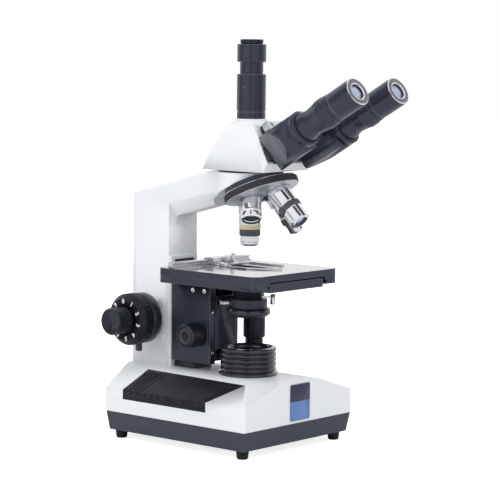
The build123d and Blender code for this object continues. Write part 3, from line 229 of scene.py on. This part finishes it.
def glass(name, colour, rough=0.02, clear=1.0, ior=1.5):
    material = bpy.data.materials.new(name)
    material.use_nodes = True
    material.diffuse_color = (*colour, 1)
    tree = material.node_tree
    shader = tree.nodes["Principled BSDF"]
    place = put(tree, "ShaderNodeTexCoord").outputs["Object"]
    touch = use(tree, HANDLING, {"Vector": place, "Amount": 0.04})
    slow = use(tree, GRAIN, {"Vector": place, "Scale": 300.0, "Pebble": 0.0})
    amount = maths(tree, "MULTIPLY_ADD", slow["Mottle"], 0.1, 0.95)
    shade = put(tree, "ShaderNodeVectorMath", {0: colour, "Scale": amount}, operation="SCALE")
    tree.links.new(shade.outputs[0], shader.inputs["Base Color"])
    tree.links.new(maths(tree, "ADD", touch["Roughness"], rough, clamp=True), shader.inputs["Roughness"])
    shader.inputs["Transmission Weight"].default_value = clear
    shader.inputs["IOR"].default_value = ior
    return material


COOL = (0.78, 0.86, 1.0)
# Each finish's edge sets the strength of its painted highlight along the edges.
WHITE = finish("white_enamel", (0.83, 0.85, 0.875), 0.38, grain=(700.0, 0.4, 0.000012), tone=0.015,
               edge=0.35, corner=0.0009, dust=0.05, handled=0.08)
PLINTH = finish("black_grained_cover", (0.040, 0.045, 0.062), 0.5, grain=(1100.0, 0.7, 0.00005), tone=0.12,
                edge=0.05, dust=0.15, sheen=COOL)
BLACK = finish("charcoal_enamel", (0.024, 0.027, 0.041), 0.36, grain=(1000.0, 0.5, 0.00002), tone=0.1,
               edge=0.10, corner=0.0006, dust=0.1, sheen=COOL)
SATIN = finish("satin_black", (0.025, 0.028, 0.043), 0.26, grain=(1400.0, 0.5, 0.000008), tone=0.08,
               edge=0.16, corner=0.0006, dust=0.06, sheen=COOL)
PLASTIC = finish("black_plastic", (0.016, 0.018, 0.025), 0.3, grain=(1600.0, 0.6, 0.000015), tone=0.1,
                 edge=0.12, corner=0.0006, dust=0.06, sheen=COOL, shine=0.3)
RUBBER = finish("rubber", (0.012, 0.013, 0.018), 0.45, grain=(1300.0, 0.8, 0.00003), tone=0.15, edge=0.08,
                dust=0.1, sheen=COOL, shine=0.25)
DECK_BLACK = finish("stage_enamel", (0.05, 0.055, 0.065), 0.16, coat=1.0, grain=(1500.0, 0.5, 0.000002),
                    tone=0.08, edge=0.1, corner=0.0005, dust=0.1, handled=0.03)
NAVY = finish("navy_enamel", (0.014, 0.024, 0.060), 0.25, grain=(900.0, 0.4, 0.00001), tone=0.1, edge=0.1,
              corner=0.0003)
BLUE = finish("blue_enamel", (0.10, 0.21, 0.50), 0.25, grain=(900.0, 0.4, 0.00001), tone=0.1, edge=0.1,
              corner=0.0003)
CHROME = finish("chrome", (0.80, 0.81, 0.84), 0.1, metal=1.0, grain=(500.0, 0.0, 0.000002), tone=0.03,
                edge=0.2, corner=0.0003, handled=0.06)
SATIN_STEEL = finish("satin_steel", (0.56, 0.58, 0.63), 0.42, metal=0.85, grain=(1600.0, 0.3, 0.000006),
                     tone=0.05, edge=0.5, corner=0.0006)
STEEL = finish("brushed_steel", (0.70, 0.71, 0.74), 0.26, metal=1.0, grain=(1800.0, 0.2, 0.00001), tone=0.08,
               edge=0.2, corner=0.0002)
# Painted highlight: a lighter charcoal for the left housing's bevelled face, where light falls on it.
PAINTED_LIT_BEVEL = finish("charcoal_with_painted_light", (0.10, 0.105, 0.125), 0.34, grain=(1400.0, 0.5, 0.000008), tone=0.06,
               edge=0.16, corner=0.0006, sheen=COOL)
GLOSS = finish("gloss_black", (0.012, 0.013, 0.018), 0.2, coat=0.6, grain=(1400.0, 0.5, 0.000005), tone=0.1,
               edge=0.15, corner=0.0006, dust=0.06, sheen=COOL)
DARK_STEEL = finish("grey_ring", (0.16, 0.17, 0.19), 0.35, metal=0.5, corner=0.0002, edge=0.2)
BRONZE = finish("bronze", (0.42, 0.28, 0.14), 0.35, metal=1.0, grain=(1500.0, 0.3, 0.00001), tone=0.1,
                corner=0.0003)
CERAMIC = finish("ceramic", (0.7, 0.68, 0.62), 0.5, grain=(1200.0, 0.5, 0.00002), tone=0.06)
INK = finish("white_ink", (0.85, 0.86, 0.88), 0.5, grain=(2000.0, 0.5, 0.000005), tone=0.05, corner=0.00005)
PINK = finish("pink_band", (0.55, 0.24, 0.24), 0.35, corner=0.0001)
CREAM = finish("cream_band", (0.72, 0.62, 0.42), 0.35, corner=0.0001)
CLEAR = glass("clear_glass", (0.95, 0.97, 1.0))
# Lens glass with a bright bluish base colour that lets only part of the light through. The colour is partly
# the tint of its coating and partly a painted reflection.
COATING_AND_PAINTED_SHEEN = glass("lens_coating_and_painted_sheen", (0.66, 0.73, 0.92), 0.04, 0.4)

SLOT_FINISH = {"white_paint": WHITE, "plinth_black": PLINTH, "black_paint": BLACK, "black_plastic": PLASTIC,
               "rubber": RUBBER, "blue_plate": BLUE, "chrome": CHROME, "steel": STEEL, "bronze": BRONZE,
               "glass": CLEAR, "lamp_ceramic": CERAMIC}

# Pieces.

SLOT_OF = {part["node"]: part["material_slot"] for part in frame["record"]["subparts"]}
BODY_OF = {node: body for body, nodes in frame["record"]["behaviour"]["bodies"].items() for node in nodes}


def spot(x, y, z):
    """A point in mm about the optical axis, as metres in the frame."""
    return Vector((x * MM, (y + OPTIC_Y) * MM, z * MM))


def show(mesh, name, body, nodes=()):
    piece = bpy.data.objects.new(name, mesh)
    bpy.context.scene.collection.objects.link(piece)
    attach(piece, body)
    if nodes:
        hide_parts(*nodes)
    return piece


def to_mesh(work, name, materials, smooth=30):
    """A named mesh from a bmesh, smooth except where faces meet at more than so many degrees."""
    mesh = bpy.data.meshes.new(name)
    work.to_mesh(mesh)
    work.free()
    for material in materials:
        mesh.materials.append(material)
    mesh.shade_smooth()
    mesh.set_sharp_from_angle(angle=radians(smooth))
    return mesh


def dress(node, *materials, pick=None, smooth=30, also=(), cuts=()):
    """A merged, smooth copy of a node in its finishes. pick(middle in mm, normal) chooses a face's finish.

    Faces are first cut along each plane of cuts, a point and a normal in mm about the optical axis."""
    work = bmesh.new()
    work.from_mesh(NODES[node].data)
    bmesh.ops.remove_doubles(work, verts=work.verts, dist=0.000005)
    for point, normal in cuts:
        parts = list(work.verts) + list(work.edges) + list(work.faces)
        bmesh.ops.bisect_plane(work, geom=parts, dist=0.000001, plane_co=spot(*point), plane_no=normal)
    for face in work.faces:
        middle = face.calc_center_median() / MM - Vector((0, OPTIC_Y, 0))
        face.material_index = pick(middle, face.normal) if pick else 0
    for extra in also:
        extra(work)
    slot = SLOT_OF[node]
    mesh = to_mesh(work, node + "_finished", materials or (SLOT_FINISH[slot],), smooth)
    return show(mesh, node + "_finished", BODY_OF[node], [node])


# Geometry trees for what repeats.


def run_tree(tree, values):
    """The mesh that a geometry tree makes from its inputs."""
    mesh = bpy.data.meshes.new("seed")
    holder = bpy.data.objects.new("holder", mesh)
    bpy.context.scene.collection.objects.link(holder)
    modifier = holder.modifiers.new("tree", "NODES")
    modifier.node_group = tree
    for item in tree.interface.items_tree:
        if item.in_out == "INPUT" and item.name in values:
            modifier[item.identifier] = values[item.name]
    bpy.context.view_layer.update()
    made = bpy.data.meshes.new_from_object(holder.evaluated_get(bpy.context.evaluated_depsgraph_get()))
    holder.modifiers.remove(modifier)
    bpy.data.objects.remove(holder)
    return made


def end_tree(tree, given, result, instances):
    whole = put(tree, "GeometryNodeRealizeInstances", {"Geometry": instances})
    painted = put(tree, "GeometryNodeSetMaterial", {"Geometry": whole.outputs[0],
                                                    "Material": given["Finish"]})
    tree.links.new(painted.outputs[0], result["Geometry"])


def rib_tree():
    """Half-round ribs along Z, spaced round a rim."""
    tree, given, result = new_group("rim_ribs", "GeometryNodeTree",
                                    {"Geometry": ("Geometry", None), "Count": ("Int", 48),
                                     "Radius": ("Float", 0.01), "Start": ("Float", 0.0),
                                     "Length": ("Float", 0.01), "Width": ("Float", 0.001),
                                     "Finish": ("Material", None)}, {"Geometry": "Geometry"})
    rim = put(tree, "GeometryNodeMeshCircle", {"Vertices": given["Count"], "Radius": given["Radius"]})
    half = maths(tree, "MULTIPLY", given["Width"], 0.5)
    rib = put(tree, "GeometryNodeMeshCylinder", {"Vertices": 8, "Radius": half, "Depth": given["Length"]})
    middle = maths(tree, "MULTIPLY_ADD", given["Length"], 0.5, given["Start"])
    lift = put(tree, "ShaderNodeCombineXYZ", {"Z": middle})
    raised = put(tree, "GeometryNodeTransform", {"Geometry": rib.outputs["Mesh"],
                                                 "Translation": lift.outputs[0]})
    placed = put(tree, "GeometryNodeInstanceOnPoints", {"Points": rim.outputs["Mesh"],
                                                        "Instance": raised.outputs[0]})
    end_tree(tree, given, result, placed.outputs[0])
    return tree


RIBS = rib_tree()

# Turned pieces. A profile is (radius, height, finish number) about the piece's own axis, in mm.


def axis_at(origin, across, along):
    """A place whose Z runs along the axis of a turned piece."""
    z = Vector(along).normalized()
    x = Vector(across).normalized()
    turn = Matrix((x, z.cross(x), z)).transposed()
    return Matrix.Translation(Vector(origin)) @ turn.to_4x4()


def to_frame(place):
    """The same place in metres, in the frame."""
    return Matrix.Scale(MM, 4) @ Matrix.Translation((0, OPTIC_Y, 0)) @ place


def lathe(work, place, profile, steps=96):
    rings = []
    for r, h, *_ in profile:
        if r < 0.001:
            rings.append([work.verts.new(place @ Vector((0, 0, h)))])
            continue
        turns = [2 * pi * i / steps for i in range(steps)]
        rings.append([work.verts.new(place @ Vector((r * cos(t), r * sin(t), h))) for t in turns])
    made = []
    index = 0
    for k, ring in enumerate(rings):
        after = rings[(k + 1) % len(rings)]
        index = profile[k][2] if len(profile[k]) > 2 else index
        if len(ring) == 1 and len(after) == 1:
            continue
        for i in range(steps):
            j = (i + 1) % steps
            corners = [ring[i % len(ring)], ring[j % len(ring)], after[j % len(after)], after[i % len(after)]]
            face = work.faces.new(list(dict.fromkeys(corners)))
            face.material_index = index
            made.append(face)
    bmesh.ops.recalc_face_normals(work, faces=made)


def add_made(work, mesh, place, index):
    """Puts a made mesh into the work, moved to its place, in one finish."""
    mesh.transform(place)
    before = len(work.faces)
    work.from_mesh(mesh)
    work.faces.ensure_lookup_table()
    for face in work.faces[before:]:
        face.material_index = index
    bpy.data.meshes.remove(mesh)


def ribs(work, place, count, radius, low, high, width, index):
    """Half-round ribs on a rim, between two heights in mm."""
    made = run_tree(RIBS, {"Count": count, "Radius": (radius - 0.5 * width) * MM, "Start": low * MM,
                           "Length": (high - low) * MM, "Width": width * MM, "Finish": RUBBER})
    grown = Matrix.Scale(1 / MM, 4)
    add_made(work, made, place @ grown, index)


def turned_piece(node, place, profile, finishes, rims=(), steps=96, also=()):
    """A turned piece that stands for a node: its profile, and its ribbed rims."""
    work = bmesh.new()
    spun = to_frame(place)
    lathe(work, spun, profile, steps)
    for count, radius, low, high, width, index in rims:
        ribs(work, spun, count, radius, low, high, width, index)
    for extra in also:
        extra(work)
    mesh = to_mesh(work, node + "_finished", finishes)
    return show(mesh, node + "_finished", BODY_OF[node], [node])


TILT = radians(23.3)
APEX = (0.0, 0.0, 296.5)
SHOULDER = 48.5
GRIP = (33.4, 40.7, 39.2)
EYE_TILT = radians(30.0)
EYE_X = 32.4


def objective_place(side, front):
    down = Vector((0, -sin(TILT), -cos(TILT)))
    forward = down.cross(Vector((1, 0, 0)))
    along = down * cos(TILT) + Vector((1, 0, 0)) * (sin(TILT) * side) + forward * (sin(TILT) * front)
    return axis_at(APEX, (1, 0, 0) if side == 0 else forward, along)


def eye_place(side):
    """The axis of one eye tube; side is -1 on the left and 1 on the right."""
    return axis_at((side * EYE_X, -49.7, 301.0), (1, 0, 0), (0, -cos(EYE_TILT), sin(EYE_TILT)))

# Objectives.


def lens(place, radius, edge, crown, index):
    """A round lens for the front of a turned piece."""
    rise = [(radius, edge, index), (radius * 0.8, edge + crown * 0.45), (radius * 0.5, edge + crown * 0.8),
            (radius * 0.25, edge + crown * 0.95), (0, edge + crown), (0, edge - 1.0), (radius, edge - 1.0)]
    return lambda work: lathe(work, to_frame(place), rise, 48)


def objectives():
    thread = [(5.0, 44.0, 0), (10.0, 44.0), (10.0, SHOULDER)]
    low = objective_place(-1, 0)
    turned_piece("objective_4x", low,
                 thread + [(10.6, SHOULDER, 0), (10.6, 64.5), (11.0, 66.3), (11.1, 66.7, 2), (11.2, 67.2, 3),
                           (11.3, 67.7), (11.3, 68.6, 0), (11.3, 72.0), (10.9, 73.2), (9.4, 74.6),
                           (8.8, 74.6, 1),
                           (7.6, 73.2, 0), (7.2, 72.6, 1), (6.6, 71.4), (6.0, 70.2, 0), (5.0, 70.2, 1)],
                 [CHROME, SATIN, PINK, INK, COATING_AND_PAINTED_SHEEN], also=[lens(low, 4.95, 68.6, 0.8, 4)])
    front = objective_place(0, 1)
    turned_piece("objective_10x", front,
                 thread + [(11.7, SHOULDER), (12.0, SHOULDER + 0.3), (12.0, 54.0), (11.8, 54.2), (11.8, 54.6),
                           (12.0, 54.8), (12.0, 70.4), (11.6, 71.0), (11.4, 71.2, 1), (11.5, 71.8),
                           (11.5, 77.2),
                           (11.2, 77.8, 0), (10.7, 78.4), (10.7, 91.6), (9.9, 92.6), (8.4, 93.1),
                           (7.2, 93.1, 1),
                           (6.0, 91.9), (5.0, 91.9)],
                 [CHROME, SATIN, COATING_AND_PAINTED_SHEEN], [(72, 11.9, 72.0, 77.0, 0.9, 1)],
                 also=[lens(front, 4.95, 90.6, 1.0, 2)])
    used = objective_place(0, -1)
    turned_piece("objective_40x", used,
                 thread + [(11.7, SHOULDER), (12.0, SHOULDER + 0.3), (12.0, 60.0), (11.2, 61.0), (11.2, 70.4),
                           (11.2, 70.6, 2), (11.2, 75.1), (11.0, 75.5, 1), (10.5, 75.7), (10.5, 82.0),
                           (9.8, 82.4, 0), (9.8, 82.8), (9.8, 88.0), (9.6, 88.2), (9.6, 88.5), (9.8, 88.7),
                           (9.8, 90.6), (8.8, 92.0), (5.2, 93.1), (3.6, 93.1), (3.6, 92.2, 1), (3.4, 92.2),
                           (3.4, 60.0), (5.0, 60.0)],
                 [CHROME, SATIN, CREAM, COATING_AND_PAINTED_SHEEN], [(64, 10.9, 75.9, 81.8, 0.9, 1)],
                 also=[lens(used, 3.35, 91.6, 0.3, 3)])
    slim = objective_place(1, 0)
    turned_piece("objective_100x", slim,
                 thread + [(11.7, SHOULDER), (12.0, SHOULDER + 0.3), (12.0, 58.0), (9.4, 60.0), (9.4, 71.0),
                           (9.4, 71.4, 3), (9.4, 73.0, 0), (9.4, 73.5, 1), (9.5, 74.0), (9.5, 80.0),
                           (8.6, 80.8, 0),
                           (8.6, 83.2), (8.2, 83.6), (8.2, 90.8), (5.0, 93.0), (2.6, 93.1), (2.6, 92.4, 1),
                           (2.4, 92.4), (2.4, 60.0), (5.0, 60.0)],
                 [CHROME, SATIN, COATING_AND_PAINTED_SHEEN, INK], [(60, 9.9, 74.2, 79.8, 0.8, 1)],
                 also=[lens(slim, 2.35, 91.8, 0.3, 2)])


def band(place, inner, outer, low, high):
    """A thin bright ring about a turned piece."""
    edge = [(inner, low, 1), (outer - 0.1, low), (outer, low + 0.1), (outer, high - 0.1), (outer - 0.1, high),
            (inner, high)]
    return lambda work: lathe(work, to_frame(place), edge, 180)


def grip_ring():
    low, high, radius = GRIP
    place = axis_at(APEX, (1, 0, 0), (0, -sin(TILT), -cos(TILT)))
    turned_piece("turret_grip", place,
                 [(36.2, low + 0.7, 0), (radius - 0.9, low + 0.7), (radius - 0.4, low + 1.2),
                  (radius - 0.4, high - 0.5),
                  (radius - 0.9, high), (36.2, high)], [RUBBER, CHROME],
                 [(180, radius, low + 1.2, high - 0.5, 0.9, 0)], steps=180,
                 also=[band(place, 36.3, radius - 0.6, low + 0.1, low + 0.65)])


objectives()
grip_ring()

# Eyepieces, their tubes and the camera tube.


def eyepiece(node, side):
    place = eye_place(side)
    turned_piece(node, place,
                 [(9.4, 70.5, 0), (11.55, 70.5), (11.55, 97.8), (14.0, 97.8), (14.6, 98.4), (14.6, 102.0),
                  (14.35, 102.25), (14.35, 102.75), (14.6, 103.0), (14.6, 128.6), (14.5, 129.0, 1),
                  (14.1, 129.5),
                  (13.5, 129.7, 3), (9.3, 129.5, 1), (8.7, 129.6), (7.9, 129.0, 0), (7.6, 127.6),
                  (7.6, 126.0), (9.4, 126.0)],
                 [SATIN, CHROME, COATING_AND_PAINTED_SHEEN, DARK_STEEL],
                 also=[lens(place, 7.7, 126.2, 1.9, 2)])


def eye_tube(node, side, cuff=False):
    cone = [(11.62, 41, 0), (13.0, 41), (13.0, 56.5), (14.7, 56.5), (15.0, 56.8), (15.2, 58.6), (13.6, 65),
            (13.2, 68), (14.0, 74), (15.2, 81.8)]
    if cuff:
        cone += [(15.3, 82.1), (15.7, 82.5), (15.7, 89.5), (15.2, 90.4), (14.9, 96.6), (14.4, 97.4),
                 (11.62, 97.4)]
    else:
        cone += [(11.62, 81.8)]
    turned_piece(node, eye_place(side), cone, [SATIN])


def set_screw(angle, index):
    """A small screw in the side of the photo tube."""
    out = Vector((cos(radians(angle)), sin(radians(angle)), 0))
    place = axis_at(out * 14.7 + Vector((0, 0, 365.9)), (0, 0, 1), out)
    return lambda work: lathe(work, to_frame(place), [(0, -0.5, index), (1.0, -0.5), (1.1, 0.18), (0.9, 0.28),
                                                      (0.5, 0.2), (0, 0.05)], 20)


def camera_tube():
    turned_piece("photo_tube", axis_at((0, 0, 0), (1, 0, 0), (0, 0, 1)),
                 [(12.4, 334.0, 0), (14.5, 334.0), (14.8, 334.3), (14.8, 340.4), (14.3, 340.9), (14.3, 341.6),
                  (14.8, 342.1), (14.8, 378.7), (14.3, 379.2), (12.4, 379.2)], [SATIN, GLOSS],
                 also=[set_screw(angle, 1) for angle in (-70, -170, 50)])
    turned_piece("photo_adapter", axis_at((0, 0, 0), (1, 0, 0), (0, 0, 1)),
                 [(10.4, 366, 0), (12.3, 366), (12.3, 379.2), (11.9, 379.2), (11.9, 391.0), (14.4, 391.8),
                  (14.8, 392.2), (14.8, 409.2), (14.4, 409.6), (10.4, 409.6)], [SATIN])


eyepiece("left_eyepiece", -1)
eyepiece("right_eyepiece", 1)
eye_tube("left_tube", -1)
eye_tube("right_tube", 1, cuff=True)
camera_tube()

# Knobs with numbers on their faces.

KNOB_FACE = 61.9
NUMBER_RING = 19.5
NUMBER_HEIGHT = 4.6
NUMBER_START = -6.0
FOCUS_AXIS = (118.0, 121.5)


def numeral(digit, height):
    """A mesh of one digit, centred, a tenth of a millimetre thick."""
    curve = bpy.data.curves.new("digit", "FONT")
    curve.body = str(digit)
    curve.align_x = "CENTER"
    curve.align_y = "CENTER"
    curve.size = height * 1.38
    curve.resolution_u = 3
    curve.offset = 0.06 * height
    curve.extrude = 0.05
    holder = bpy.data.objects.new("digit", curve)
    bpy.context.scene.collection.objects.link(holder)
    bpy.context.view_layer.update()
    made = bpy.data.meshes.new_from_object(holder.evaluated_get(bpy.context.evaluated_depsgraph_get()))
    bpy.data.objects.remove(holder)
    bpy.data.curves.remove(curve)
    closed = bmesh.new()
    closed.from_mesh(made)
    bmesh.ops.remove_doubles(closed, verts=closed.verts, dist=0.001)
    bmesh.ops.recalc_face_normals(closed, faces=closed.faces)
    closed.to_mesh(made)
    closed.free()
    return made


def face_numbers(side, index):
    """The digits 0 to 9 around the face of a knob, each with its foot toward the middle."""
    def add(work):
        for digit in range(10):
            turn = radians(NUMBER_START + 36 * digit)
            out = Vector((0, -sin(turn), cos(turn)))
            right = out.cross(Vector((side, 0, 0)))
            middle = Vector((side * (KNOB_FACE + 0.02), *FOCUS_AXIS)) + out * NUMBER_RING
            place = axis_at(middle, right, (side, 0, 0))
            add_made(work, numeral(digit, NUMBER_HEIGHT), to_frame(place), index)
    return add


dress("coarse_knobs", RUBBER, INK, also=[face_numbers(-1, 1), face_numbers(1, 1)])

# Pieces with more than one finish.


def strip_finish(middle, normal):
    if middle.x < -21.95:
        return 2
    return 1 if middle.y < 34.05 else 0


def deck_finish(middle, normal):
    return 0 if normal.z > 0.9 and middle.z > 176 else 1


BEVEL_FACING = (-0.80, -0.29, -0.52)


def housing_finish(middle, normal):
    """The bevelled face of an eye tube housing gets a lighter charcoal, a painted highlight for the light
    that falls on that face. Its way is given in tube axes.
    """
    side, up, along = BEVEL_FACING
    tilted = Vector((side, up * sin(EYE_TILT) - along * cos(EYE_TILT),
                     up * cos(EYE_TILT) + along * sin(EYE_TILT)))
    return 1 if normal.dot(tilted) > 0.95 else 0


def head_finish(middle, normal):
    """The ring that the head stands on is painted black: painted shade for the shaded gap between the head
    and the arm.
    """
    return 1 if middle.z < 282.1 and middle.x ** 2 + middle.y ** 2 < 33.5 ** 2 else 0


PLATE_SPLIT = 51.0


def plate_finish(middle, normal):
    """Dark blue above, lighter blue below, and nothing on it."""
    return 0 if middle.z > PLATE_SPLIT else 1


dress("gib_strips", SATIN, STEEL, CHROME, pick=strip_finish)
dress("stage_top", DECK_BLACK, BLACK, pick=deck_finish)
dress("stage_lower_plate", DECK_BLACK, BLACK, pick=lambda middle, normal: 0 if normal.z > 0.9 else 1)
dress("front_plate", NAVY, BLUE, pick=plate_finish, cuts=[((0, 0, PLATE_SPLIT), (0, 0, 1))])
dress("head_body", WHITE, BLACK, pick=head_finish)
dress("left_housing", SATIN, PAINTED_LIT_BEVEL, pick=housing_finish)
dress("right_housing", SATIN)
dress("turret", SATIN_STEEL)
dress("tension_ring", SATIN)
dress("lamp_collar", GLOSS)
for node in ("slide_bed", "condenser", "clamp_screw", "drive_post"):
    dress(node, STEEL if node == "clamp_screw" else GLOSS if node == "condenser" else SATIN)

# Everything else keeps its own shape, smoothed, in its finish.

for node in NODES:
    if node + "_finished" not in bpy.data.objects:
        dress(node)

# Studio: a pale floor that runs out of sight, one broad lamp above and a weaker one in front.


def studio_floor():
    work = bmesh.new()
    bmesh.ops.create_grid(work, x_segments=1, y_segments=1, size=8)
    mesh = bpy.data.meshes.new("floor")
    work.to_mesh(mesh)
    work.free()
    floor = bpy.data.objects.new("floor", mesh)
    bpy.context.scene.collection.objects.link(floor)
    material = bpy.data.materials.new("pale_floor")
    material.use_nodes = True
    tree = material.node_tree
    shader = tree.nodes["Principled BSDF"]
    shader.inputs["Base Color"].default_value = (0.85, 0.85, 0.86, 1)
    shader.inputs["Roughness"].default_value = 0.9
    shader.inputs["Specular IOR Level"].default_value = 0.0
    ray = put(tree, "ShaderNodeLightPath")
    seen = maths(tree, "MAXIMUM", ray.outputs["Is Camera Ray"], ray.outputs["Is Transmission Ray"])
    shader.inputs["Emission Color"].default_value = (1, 1, 1, 1)
    tree.links.new(maths(tree, "MULTIPLY", seen, FLOOR_LIFT), shader.inputs["Emission Strength"])
    mesh.materials.append(material)


FLOOR_LIFT = 0.8
SKY_LIGHT = 0.82


DARK_CARDS = ((-0.83, -0.56, 0.975, 0.995), (0.45, -0.89, 0.90, 0.98), (-0.66, 0.75, 0.90, 0.98))
CARD_DEPTH = 0.85


def studio_sky():
    """White all round; shiny surfaces also mirror three tall dark cards, each given by the way to it and
    the cosines of the angles from it at which it fades in and is full."""
    world = bpy.data.worlds.new("sky")
    bpy.context.scene.world = world
    world.use_nodes = True
    tree = world.node_tree
    ray = put(tree, "ShaderNodeLightPath")
    way = put(tree, "ShaderNodeTexCoord").outputs["Generated"]
    flat = put(tree, "ShaderNodeVectorMath", {0: way, 1: (1, 1, 0)}, operation="MULTIPLY")
    level = put(tree, "ShaderNodeVectorMath", {0: flat.outputs[0]}, operation="NORMALIZE")
    cards = 0.0
    for x, y, start, full in DARK_CARDS:
        along = put(tree, "ShaderNodeVectorMath", {0: level.outputs[0], 1: (x, y, 0)},
                    operation="DOT_PRODUCT")
        card = put(tree, "ShaderNodeMapRange", {"Value": along.outputs["Value"], "From Min": start,
                                                "From Max": full, "To Max": CARD_DEPTH},
                   interpolation_type="SMOOTHSTEP")
        cards = maths(tree, "ADD", cards, card.outputs["Result"])
    seen = maths(tree, "MAXIMUM", ray.outputs["Is Camera Ray"], ray.outputs["Is Transmission Ray"])
    plain = maths(tree, "MULTIPLY_ADD", seen, 1 - SKY_LIGHT, SKY_LIGHT)
    rest = maths(tree, "SUBTRACT", 1 - SKY_LIGHT, cards)
    shiny = maths(tree, "MULTIPLY", ray.outputs["Is Glossy Ray"], rest)
    shader = tree.nodes["Background"]
    shader.inputs["Color"].default_value = (1, 1, 1, 1)
    tree.links.new(maths(tree, "ADD", plain, shiny), shader.inputs["Strength"])


def lamp(name, place, aim, size, power):
    data = bpy.data.lights.new(name, "AREA")
    data.shape = "DISK"
    data.size = size
    data.energy = power
    light = bpy.data.objects.new(name, data)
    bpy.context.scene.collection.objects.link(light)
    look = Vector(aim) - Vector(place)
    light.matrix_world = Matrix.Translation(place) @ look.to_track_quat("-Z", "Y").to_matrix().to_4x4()
    light.visible_glossy = False


studio_floor()
studio_sky()
lamp("key_lamp", (-0.9, -0.9, 1.9), (0, 0, 0.2), 1.4, 13)
lamp("side_lamp", (-1.8, 0.3, 0.8), (0, 0, 0.2), 1.2, 5)

bpy.context.scene.view_settings.view_transform = "Standard"
